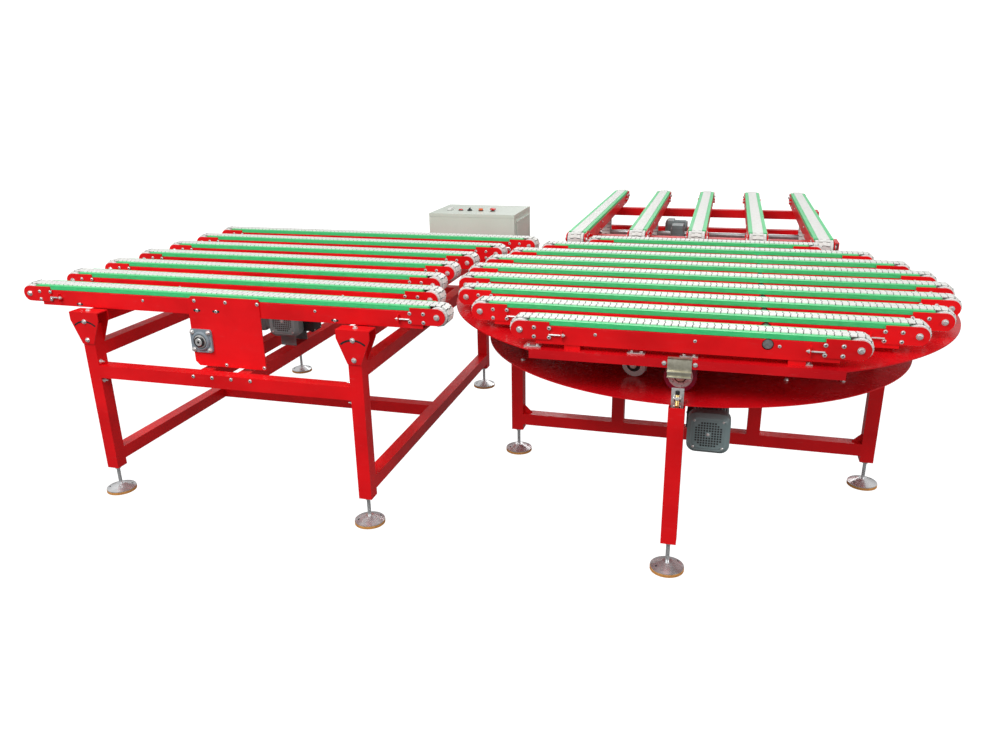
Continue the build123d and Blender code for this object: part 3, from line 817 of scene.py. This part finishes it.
def fan_motor(body_data, matrix, length, half):
    """Ribbed motor along local Z, ending in a square fan cover whose perforations are dark squares
    of painted shade.
    """
    cover = 0.062
    neck = 0.014
    radius = half * 0.80
    lathe(body_data, [(radius, 0), (half * 0.88, 0.004), (half * 0.88, neck)], matrix, 32)
    rib = half * 0.12
    ribs = toothed(radius, 28, ((-0.32, 0), (-0.24, rib), (0.24, rib), (0.32, 0)))
    prism(body_data, ribs, length - cover - neck, raised(matrix, neck))
    shell = rounded_square(half * 0.985, half * 0.42)
    prism(body_data, shell, cover, raised(matrix, length - cover), half * 0.2)
    face = raised(matrix, length)
    grid = half * 0.125
    count = 10
    first = (1 - count) / 2 * grid
    # The grille's openings are dark rounded squares on the cover face: painted shade of the
    # perforations.
    hole_shade = rounded_square(grid * 0.34, grid * 0.14, 2)
    for row, column in product(range(count), repeat=2):
        x = first + column * grid
        y = first + row * grid
        if abs(x) + abs(y) < grid * 7.6 and math.hypot(x, y) > grid * 1.1:
            spot = face @ Matrix.Translation((x, y, -0.0002))
            prism(black_parts_and_painted_shade["stand"], hole_shade, 0.0006, spot)
    outer = rounded_square(grid * 5.6, grid * 2.4)
    inner = rounded_square(grid * 5.1, grid * 2.1)
    rim = ((outer, -0.0004), (outer, 0.0020), (inner, 0.0020), (inner, -0.0004))
    bridge(body_data, [ring(body_data, outline, height, face) for outline, height in rim])
    cap_screw = [(half * 0.07, -0.0003), (half * 0.07, 0.002), (half * 0.04, 0.003)]
    lathe(fasteners["stand"], cap_screw, face, 12)
    for x, y in product((-half * 0.66, half * 0.66), repeat=2):
        round_screw("stand", face @ Vector((x, y, -0.0008)), local_z(face), 0.0052)


def terminal_box(data, first, second, axis, sign):
    """Cast box with a lid on the side that the axis and sign name, and four screws."""
    box(data, first, second, 0.006)
    centre = middle(first, second)
    size = [abs(b - a) / 2 for a, b in zip(first, second)]
    lid_low = [m - s * 0.98 for m, s in zip(centre, size)]
    lid_high = [m + s * 0.98 for m, s in zip(centre, size)]
    lid_low[axis] = centre[axis] + sign * size[axis] - 0.001
    lid_high[axis] = lid_low[axis] + 0.004
    box(data, lid_low, lid_high, 0.0015)
    normal = [0, 0, 0]
    normal[axis] = sign
    across, along = [i for i in range(3) if i != axis]
    for side, end in product((-0.78, 0.78), repeat=2):
        spot = list(centre)
        spot[axis] = lid_high[axis] if sign > 0 else lid_low[axis]
        spot[across] += side * size[across]
        spot[along] += end * size[along]
        round_screw("stand", spot, normal, 0.0038)


def build_gearmotors():
    """Shaft-mounted gearbox of each line, its motor at a right angle to the strands."""
    hub_profile = [
        (0.054, 0), (0.054, 0.004), (0.04, 0.006), (0.034, 0.01), (0.024, 0.01), (0.0185, 0.009),
    ]
    gland_profile = [(0.010, -0.001), (0.010, 0.006), (0.007, 0.008), (0.007, 0.014)]
    # Corners given ahead, across and up from the middle of the gearbox
    gearbox = ((-0.064, -0.044, -0.073), (0.064, 0.044, 0.073))
    motor_side = ((0.050, -0.038, -0.058), (0.128, 0.038, 0.058))
    terminal = ((0.262, -0.035, -0.062), (0.318, 0.045, 0.012))
    terminal_foot = ((0.235, -0.020, -0.045), (0.270, 0.030, 0.0))
    hub_face = 0.042
    hub_bolts = polygon(0.047, 6)
    motor_length = 0.160
    motor_half = 0.080
    body_data = bmesh.new()
    box_data = bmesh.new()
    for name, gear_lateral in (("infeed", -0.4005), ("outfeed", -0.1765)):
        line = lines[name]

        def spot(ahead, lateral, above):
            return line.point(line.drive + ahead, gear_lateral + lateral, drive_height + above)

        def block(first, second, edge):
            box(body_data, spot(*first), spot(*second), edge)

        block(*gearbox, 0.014)
        block(*motor_side, 0.012)
        for rib in (-0.045, -0.015, 0.015, 0.045):
            block((-0.066, -0.040, rib - 0.002), (0.066, 0.040, rib + 0.002), 0.001)
        for side, normal in line.sides():
            lathe_ring(body_data, hub_profile, facing(spot(0, side * hub_face, 0), normal))
            for ahead, above in hub_bolts:
                place = spot(ahead, side * (hub_face + 0.0035), above)
                socket_bolt("stand", place, normal, 0.0042)
        motor = facing(spot(0.190, 0.060, 0), line.direction(0, -1, 0))
        fan_motor(body_data, motor, motor_length, motor_half)
        lid_axis = 0 if line.along == "x" else 1
        terminal_box(box_data, spot(*terminal[0]), spot(*terminal[1]), lid_axis, 1)
        block(*terminal_foot, 0.004)
        gland = facing(spot(0.290, 0.005, terminal[0][2]), (0, 0, -1))
        lathe(box_data, gland_profile, gland, 6)
        for foot in (-0.055, 0.055):
            block((0.150, foot - 0.002, -0.132), (0.230, foot + 0.002, -0.050), 0.001)
    unit = finished(body_data, "drive_gearmotors", "stand", "motor_grey")
    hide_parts("gearmotors")
    finished(box_data, "terminal_boxes", "stand", "black_plastic")


def build_turn_gearmotor():
    """Gearmotor that turns the table, hanging from the track with its fan cover in front."""
    low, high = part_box("turn_gearmotor")
    x = middle(low, high)[0]
    half = (high[0] - low[0]) / 2
    top = high[2]
    wheel_y = turn_y - 0.5165
    centre_z = low[2] + half
    motor_y = wheel_y - 0.044
    data = bmesh.new()
    box_data = bmesh.new()

    def block(reach_x, reach_y, bottom, height, edge):
        first = (x - reach_x, wheel_y - reach_y, bottom)
        box(data, first, (x + reach_x, wheel_y + reach_y, height), edge)

    block(0.066, 0.048, top - 0.012, top, 0.002)
    block(0.056, 0.044, centre_z - 0.030, top - 0.010, 0.012)
    neck = facing((x, wheel_y, top - 0.052), (0, 0, 1))
    lathe(data, [(0.062, 0), (0.062, 0.010), (0.050, 0.016), (0.050, 0.040)], neck, 32)
    flange = facing((x, wheel_y - 0.030, centre_z), (0, -1, 0))
    prism(data, rounded_square(0.070, 0.02), 0.016, flange, 0.003)
    fan_motor(data, facing((x, motor_y, centre_z), (0, -1, 0)), motor_y - low[1], half)
    for shift_x, shift_y in product((-0.058, 0.058), (-0.040, 0.040)):
        spot = (x + shift_x, wheel_y + shift_y, top - 0.012)
        hex_bolt("stand", spot, (0, 0, -1), 0.006)
    side = x - half
    near = (side - 0.006, wheel_y - 0.200, centre_z - 0.036)
    terminal_box(box_data, near, (side + 0.034, wheel_y - 0.100, centre_z + 0.036), 0, -1)
    unit = finished(data, "turning_gearmotor", "stand", "motor_grey")
    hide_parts("turn_gearmotor")
    finished(box_data, "turning_terminal_box", "stand", "black_plastic")


# Casters, roller and sensor of the round table


def caster_frame(angle, reach, height):
    """Local X round the table, Y up, Z outwards."""
    turn = math.radians(angle)
    round_table = Vector((-math.sin(turn), math.cos(turn), 0))
    outward = Vector((math.cos(turn), math.sin(turn), 0))
    return axes(round_table, Vector((0, 0, 1)), outward, at(*polar(reach, turn), height))


def build_fork(data, matrix, head):
    """Folded fork round a caster wheel, with its lip, axle and bolts."""
    cheek_outline = [(0.045, head), (-0.045, head), (-0.045, head - 0.016), (-0.034, head - 0.030)]
    cheek_outline += arc((0, 0), 0.019, 200, 340, 10)
    cheek_outline += [(0.034, head - 0.030), (0.045, head - 0.016)]
    outward = local_z(matrix)
    thickness = 0.004
    cheek_face = 0.027
    for side, start in ((-1, -cheek_face), (1, cheek_face - thickness)):
        prism(data, cheek_outline, thickness, raised(matrix, start))
        spot = matrix @ Vector((0, 0, side * cheek_face))
        hex_bolt("table", spot, outward * side, 0.0085, 0.002)
    under = head - thickness
    lip = [(-0.058, under), (0.058, under), (0.058, head), (-0.058, head)]
    prism(data, lip, 0.060, raised(matrix, -0.030))
    for shift in (-0.052, 0.052):
        hex_bolt("table", matrix @ Vector((shift, under, 0.018)), (0, 0, -1), 0.006)
    rod(data, 0.0079, 0, 0.046, raised(matrix, -0.023), 16)


def build_caster_hub(matrix, number):
    """Rim, seal and bearing on both sides of a caster wheel."""
    body = f"caster_wheel_{number}"
    rim = [(0.0475, -0.0004), (0.0465, 0.0016), (0.043, 0.0018), (0.0405, 0.0006), (0.025, 0.0004)]
    seal = [(0.0250, 0.0004), (0.0250, 0.0016), (0.0160, 0.0016)]
    bearing = [(0.0160, 0.0016), (0.0155, 0.0024), (0.0083, 0.0024)]
    hub_data = bmesh.new()
    seal_data = bmesh.new()
    for side in (-1, 1):
        face = facing(matrix @ Vector((0, 0, side * 0.020)), local_z(matrix) * side)
        lathe_ring(hub_data, rim, face, 40)
        lathe_ring(seal_data, seal, face, 28)
        lathe_ring(hub_data, bearing, face, 24)
    finished(hub_data, f"caster_hub_{number}", body, "sensor_steel")
    finished(seal_data, f"caster_seal_{number}", body, "black_plastic")


def build_front_bracket(data, side):
    """Stepped bracket that reaches down from the table's edge, front or back."""
    plate_top = table_height + 0.003
    for near, far, low, high, half in (
        (0.9390, 0.9650, table_height, plate_top, 0.044),
        (0.9605, 0.9650, 0.838, plate_top, 0.044),
        (0.9605, 0.9720, 0.834, 0.838, 0.045),
        (0.9560, 0.9610, 0.816, 0.834, 0.043),
        (0.9560, 0.9660, 0.812, 0.816, 0.044),
    ):
        box(data, at(-half, side * near, low), at(half, side * far, high), 0.0008)
    for shift in (-0.056, 0.056):
        hex_bolt("table", at(shift, side * 0.9600, 0.866), (0, side, 0), 0.0065)


def build_casters():
    """The four casters, and the brackets over the front and back ones."""
    fork_data = bmesh.new()
    height = track_height + caster_gap + caster_radius
    for number in range(1, 5):
        matrix = caster_frame((number - 1) * 90, caster_circle, height)
        build_fork(fork_data, matrix, plate_under - height)
        build_caster_hub(matrix, number)
    for side in (-1, 1):
        build_front_bracket(fork_data, side)
    forks = finished(fork_data, "folded_caster_forks", "table", "zinc_steel")
    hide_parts("caster_forks")


def build_support_roller():
    """Second, smaller wheel in front of the middle, on its own hanging plate."""
    radius = 0.0525
    width = 0.026
    height = track_height + caster_gap + radius
    matrix = caster_frame(-105.7, 0.704, height)
    tyre = [
        (0.03, 0.0), (0.05, 0.0), (radius, 0.003), (radius, width - 0.003), (0.05, width),
        (0.03, width),
    ]
    data = bmesh.new()
    lathe(data, tyre, raised(matrix, -width / 2), 40)
    finished(data, "support_roller", "table", "white_wheel")
    head = plate_under - height
    outline = [(0.026, head), (-0.026, head)] + arc((0, 0), 0.016, 180, 360, 10)
    plate = bmesh.new()
    prism(plate, outline, 0.005, raised(matrix, 0.016))
    finished(plate, "support_roller_plate", "table", "zinc_steel")
    hub = [(0.030, -0.001), (0.030, 0.0015), (0.024, 0.0025)]
    lathe(black_parts_and_painted_shade["table"], hub, raised(matrix, width / 2), 28)
    hex_bolt("table", matrix @ Vector((0, 0, 0.021)), local_z(matrix), 0.0085)


def build_sensor():
    """Angle with two screws, and the round sensor clamped in its shelf."""
    low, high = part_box("turn_sensor")
    x = middle(low, high)[0]
    face = low[1] + 0.001
    front = (0, -1, 0)
    sheet = 0.0006
    data = bmesh.new()
    box(data, (low[0], face, low[2]), high, sheet)
    shelf_near = (low[0] + 0.008, low[1] - 0.024, high[2] - 0.034)
    box(data, shelf_near, (high[0] - 0.008, low[1] + 0.002, high[2] - 0.031), sheet)
    angle = finished(data, "sensor_angle", "stand", "sensor_steel")
    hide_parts("turn_sensor")
    for shift in (-0.010, 0.010):
        socket_bolt("stand", (x + shift, face, low[2] + 0.016), front, 0.0052)
    painted_slot_shade("stand", (x, face, low[2] + 0.040), front, (1, 0, 0), 0.026, 0.007)
    barrel = facing((x, low[1] - 0.013, high[2] - 0.070), (0, 0, 1))
    root = 0.0074
    crest = 0.0080
    thread_pitch = 0.0021
    thread = [(0.0052, 0.0), (0.0078, 0.002), (root, 0.008)]
    for index in range(20):
        thread.append((crest, 0.0095 + index * thread_pitch))
        thread.append((root, 0.0105 + index * thread_pitch))
    barrel_data = bmesh.new()
    lathe(barrel_data, thread, barrel, 20)
    finished(barrel_data, "sensor_barrel", "stand", "sensor_steel", brass)
    for height in (0.0305, 0.0385):
        prism(fasteners["stand"], polygon(0.012, 6), 0.004, raised(barrel, height), 0.001)
    end = [(0.0078, 0.050), (0.0082, 0.052), (0.0082, 0.062), (0.0060, 0.064)]
    lathe(black_parts_and_painted_shade["stand"], end, barrel, 20)


# Feet and base


def build_feet():
    """Lock nut under each leg, its welded end plate, and dark discs at the holes in the dish:
    painted shade of those holes.
    """
    plate_half = 0.0302
    hole_reach = 0.050
    hole_height = 0.0234
    slope = 0.42
    feet = [at(x, y) for x, y in ((0.852, 0), (-0.852, 0), (0, 0.960), (0, -0.960))]
    for line in lines.values():
        for leg, side in product(line.legs, (-1, 1)):
            feet.append(line.point(leg, side * line.leg_half, 0))
    for foot in feet:
        nut = Matrix.Translation((foot.x, foot.y, leg_bottom - 0.0165))
        prism(fasteners["stand"], polygon(0.0145, 6), 0.012, nut, 0.0015)
        low = (foot.x - plate_half, foot.y - plate_half, leg_bottom - 0.0035)
        high = (foot.x + plate_half, foot.y + plate_half, leg_bottom + 0.0015)
        box(red_parts["stand"], low, high, 0.0012)
        for angle in (35, 215):
            x, y = polar(hole_reach, math.radians(angle))
            normal = (*polar(slope, math.radians(angle)), 1)
            hole_shade = facing((foot.x + x, foot.y + y, hole_height), normal)
            # Dark disc: painted shade of a hole in the dish.
            rod(black_parts_and_painted_shade["stand"], 0.0045, -0.0006, 0.0006, hole_shade, 10)


def build_base_fittings():
    """Gussets at the side legs, bolts through the track disc and plates on the table."""
    gusset = 0.045
    sheet = 0.005
    for side in (-1, 1):
        corner = at(side * 0.822, 0, 0.220) - Vector((0, side * sheet / 2, 0))
        matrix = axes(Vector((-side, 0, 0)), Vector((0, 0, 1)), Vector((0, side, 0)), corner)
        prism(red_parts["stand"], [(0, 0), (gusset, 0), (0, gusset)], sheet, matrix)
    front_bolts = ((-0.683, -0.584), (-0.620, -0.527), (0.404, -0.593), (0.620, -0.560))
    for x, y in (*front_bolts, (-0.60, 0.60), (0.60, 0.60)):
        hex_bolt("stand", at(x, y, track_height), (0, 0, 1), 0.008)
    plate_top = table_height + 0.004
    plate_half = (0.033, 0.028)
    y = -0.905
    plate_data = bmesh.new()
    for x in (-0.163, 0.030, 0.425, -0.560):
        low = at(x - plate_half[0], y - plate_half[1], table_height)
        box(plate_data, low, at(x + plate_half[0], y + plate_half[1], plate_top), 0.0008)
        for shift in (-0.018, 0.018):
            hex_bolt("table", at(x + shift, y - 0.012, plate_top), (0, 0, 1), 0.006)
    finished(plate_data, "flange_plates", "table", "sensor_steel")
    for number, shift in product(range(4), (-0.075, 0.075)):
        matrix = caster_frame(number * 90, caster_circle, table_height)
        hex_bolt("table", matrix @ Vector((shift, 0, 0)), (0, 0, 1), 0.0065)


# Control cabinet

control_collar = [(0.0165, 0), (0.0165, 0.003), (0.0155, 0.004), (0.0146, 0.004), (0.0146, 0.0)]


def control_disc(name, node, body, slot, profile):
    """Turned head and collar in the place of a control, from the door's top upwards."""
    x, y = middle(*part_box(node))[:2]
    place = Matrix.Translation((x, y, door_top))
    data = bmesh.new()
    lathe(data, profile, place, 32)
    piece = finished(data, name, body, slot)
    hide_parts(node)
    ring_data = bmesh.new()
    lathe_ring(ring_data, control_collar, place, 32)
    finished(ring_data, f"{name}_collar", "cabinet_door", "black_plastic")
    return x, y


def build_selector():
    """Knob of the selector, with its handle and white mark."""
    knob = [(0.0138, 0.0012), (0.0138, 0.0080), (0.0128, 0.0092), (0.0, 0.0094)]
    node = "selector_switch"
    x, y = control_disc("selector_knob", node, node, "black_plastic", knob)
    half = (0.0035, 0.0135)
    handle = bmesh.new()
    low = (x - half[0], y - half[1], door_top + 0.008)
    box(handle, low, (x + half[0], y + half[1], door_top + 0.0190), 0.002)
    finished(handle, "selector_handle", node, "black_plastic")
    mark = bmesh.new()
    low = (x - 0.0008, y - 0.0125, door_top + 0.0188)
    box(mark, low, (x + 0.0008, y - 0.002, door_top + 0.0193))
    finished(mark, "selector_mark", node, "latch_white")


def build_latch():
    """Drop-shaped lever of the latch on its seat."""
    low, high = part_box("latch_handle")
    x = middle(low, high)[0]
    half = (high[0] - low[0]) / 2
    tip = arc((0, high[1] - half), half * 0.8, 0, 180, 10)
    outline = tip + arc((0, low[1] + half), half, 180, 360, 10)
    data = bmesh.new()
    prism(data, outline, 0.0115, Matrix.Translation((x, 0, door_top + 0.0012)), 0.003)
    latch = finished(data, "latch_lever", "latch_handle", "latch_white")
    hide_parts("latch_handle")
    seat = bmesh.new()
    place = Matrix.Translation((x, low[1] + half, door_top))
    lathe_ring(seat, [(0.016, 0), (0.016, 0.0009), (0.012, 0.0011)], place, 28)
    finished(seat, "latch_seat", "cabinet_door", "black_plastic")


def build_controls():
    """Lamp, lit button, stop button, selector and latch on the cabinet door."""
    dome = [(0.0140, 0.0), (0.0140, 0.006), (0.0125, 0.0085), (0.0080, 0.0102), (0.0, 0.0108)]
    control_disc("pilot_dome", "pilot_lamp", "cabinet_door", "lamp_red", dome)
    lit = [(0.0138, 0.006), (0.0138, 0.0145), (0.0128, 0.0160), (0.0, 0.0162)]
    control_disc("lit_button", "push_button", "push_button", "button_orange", lit)
    mushroom = [
        (0.0078, 0.0), (0.0078, 0.0097), (0.0188, 0.01), (0.02, 0.013), (0.0165, 0.0178),
        (0.009, 0.0199), (0.0, 0.0205),
    ]
    control_disc("stop_button", "emergency_stop", "emergency_stop", "stop_red", mushroom)
    build_selector()
    build_latch()


def build_cabinet_fittings():
    """Folded rims of the box, and the frame and screws of the gland plate."""
    low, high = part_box("cabinet_box")
    door_low, door_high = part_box("cabinet_door")
    inset = 0.002
    fold = 0.012
    left = door_low[0] + inset
    right = door_high[0] - inset
    shelf = low[2] + fold
    rims = bmesh.new()
    for x_low, x_high, z_low, z_high in (
        (left, right, low[2], shelf),
        (right - fold, right, shelf, high[2] - inset),
        (left, left + fold, shelf, high[2] - inset),
    ):
        box(rims, (x_low, low[1] - 0.0012, z_low), (x_high, low[1] + 0.0002, z_high), 0.0005)
    x_low = high[0] - 0.001
    x_high = high[0] + 0.003
    y, z = middle(low, high)[1:]
    band = 0.007
    half_y = 0.168
    half_z = 0.0835
    reach_y = half_y - band
    reach_z = half_z - band
    for side in (-1, 1):
        edge_y = y + side * reach_y
        edge_z = z + side * reach_z
        box(rims, (x_low, edge_y - band, z - half_z), (x_high, edge_y + band, z + half_z), 0.001)
        bar = reach_y - band
        box(rims, (x_low, y - bar, edge_z - band), (x_high, y + bar, edge_z + band), 0.001)
    finished(rims, "cabinet_rims", "stand", "cabinet_grey")
    for side_y, side_z in product((-1, 0, 1), (-1, 1)):
        spot = (x_high, y + side_y * reach_y, z + side_z * reach_z)
        socket_bolt("stand", spot, (1, 0, 0), 0.0035)


# Nose wheels

wheel_nodes = {
    "infeed": ("infeed_tail_wheels", "infeed_head_wheels_{rank}"),
    "outfeed": ("outfeed_head_wheels_{rank}", "outfeed_tail_wheels"),
    "table": ("table_left_wheels_{rank}", "table_right_wheels_{rank}"),
}


def wheels_by_node():
    """Strand and axle of every nose wheel, under the node that turns it."""
    groups = {}
    for strand in strands:
        same = [s for s in strands if s.group == strand.group]
        position = same.index(strand)
        rank = min(position, len(same) - 1 - position) + 1
        for name, axle in zip(wheel_nodes[strand.group], (strand.first, strand.last)):
            groups.setdefault(name.format(rank=rank), []).append((strand, axle))
    return groups


def build_wheels():
    """Nose wheels with scalloped rims, a recessed web and a hub."""
    half = 0.031
    scallops = toothed(0.0395, 20, ((0, -0.0022), (0.25, 0), (0.5, 0), (0.75, 0)))
    web = [(0.0290, 0.0008), (0.0280, 0.0020), (0.0165, 0.0020), (0.0120, 0.0012)]
    for node, wheels in wheels_by_node().items():
        data = bmesh.new()
        for strand, axle in wheels:
            for side, normal in strand.sides():
                rim = facing(strand.point(axle, side * half, nose_height), normal)
                prism(data, scallops, 0.0165, rim, 0.0015)
                lathe_ring(data, web, raised(rim, 0.0160), 28)
            core = facing(strand.point(axle, -half, nose_height), normal)
            rod(data, 0.0385, 0.0, 2 * half, core, 30)
        piece = finished(data, f"toothed_{node}", node, "white_wheel")
        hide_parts(node)


def build_details():
    """All fittings, and then the small parts that they collected on each body."""
    build_nose_fittings()
    build_web_fittings()
    build_bracket_fittings()
    build_drive_fittings()
    build_gearmotors()
    build_turn_gearmotor()
    build_casters()
    build_support_roller()
    build_sensor()
    build_feet()
    build_base_fittings()
    build_controls()
    build_cabinet_fittings()
    build_wheels()
    # The dark meshes hold black parts together with the painted shade of sockets, slots and
    # perforations.
    for parts, ending, slot in (
        (fasteners, "fasteners", "sensor_steel"),
        (black_parts_and_painted_shade, "black_parts_and_painted_hole_shade", "black_plastic"),
        (red_parts, "lugs", "red_paint"),
    ):
        for body, data in parts.items():
            finished(data, f"{body}_{ending}", body, slot)


# Light and camera


def add_area(name, place, size, power):
    """Rectangular lamp aimed at the middle of the line."""
    target = Vector((0, 0, 0.6))
    light = bpy.data.lights.new(name, "AREA")
    light.shape = "RECTANGLE"
    light.size = size
    light.size_y = size * 0.6
    light.energy = power
    lamp_object = bpy.data.objects.new(name, light)
    lamp_object.location = place
    lamp_object.rotation_euler = (target - Vector(place)).to_track_quat("-Z", "Y").to_euler()
    bpy.context.scene.collection.objects.link(lamp_object)


def build_light():
    """Studio sky that is brighter above, white to the camera, and three lamps."""
    world = bpy.data.worlds.new("studio")
    bpy.context.scene.world = world
    world.use_nodes = True
    tree = world.node_tree
    background = tree.nodes["Background"]
    background.inputs["Color"].default_value = (1, 1, 1, 1)
    direction = add(tree, "ShaderNodeSeparateXYZ")
    coordinates = add(tree, "ShaderNodeTexCoord")
    tree.links.new(coordinates.outputs["Generated"], direction.inputs["Vector"])
    sky = level(tree, direction.outputs["Z"], 0.16, 0.70, -0.25, 0.55)
    seen = add(tree, "ShaderNodeLightPath").outputs["Is Camera Ray"]
    total = add(tree, "ShaderNodeMath", operation="MULTIPLY_ADD")
    tree.links.new(seen, total.inputs[0])
    total.inputs[1].default_value = 1.0
    tree.links.new(sky, total.inputs[2])
    tree.links.new(total.outputs["Value"], background.inputs["Strength"])
    add_area("key", (-2.5, -6.0, 5.5), 5.0, 330)
    add_area("fill", (6.0, -3.0, 3.0), 4.0, 110)
    add_area("back", (0.0, 7.0, 5.0), 5.0, 150)


def build_camera():
    """Camera of the photograph, from its measured place, angles and lens."""
    camera = bpy.data.objects.new("camera", bpy.data.cameras.new("camera"))
    camera.data.sensor_width = 36
    camera.data.lens = camera_lens
    camera.data.clip_end = 100
    turn = Matrix.Rotation(math.radians(camera_yaw), 4, "Z")
    tilt = Matrix.Rotation(math.radians(90 - camera_pitch), 4, "X")
    roll = Matrix.Rotation(math.radians(camera_roll), 4, "Z")
    camera.matrix_world = Matrix.Translation(at(*camera_place)) @ turn @ tilt @ roll
    bpy.context.scene.collection.objects.link(camera)
    bpy.context.scene.camera = camera


build_chains()
build_details()
build_light()
build_camera()
bpy.context.scene.view_settings.view_transform = "Standard"
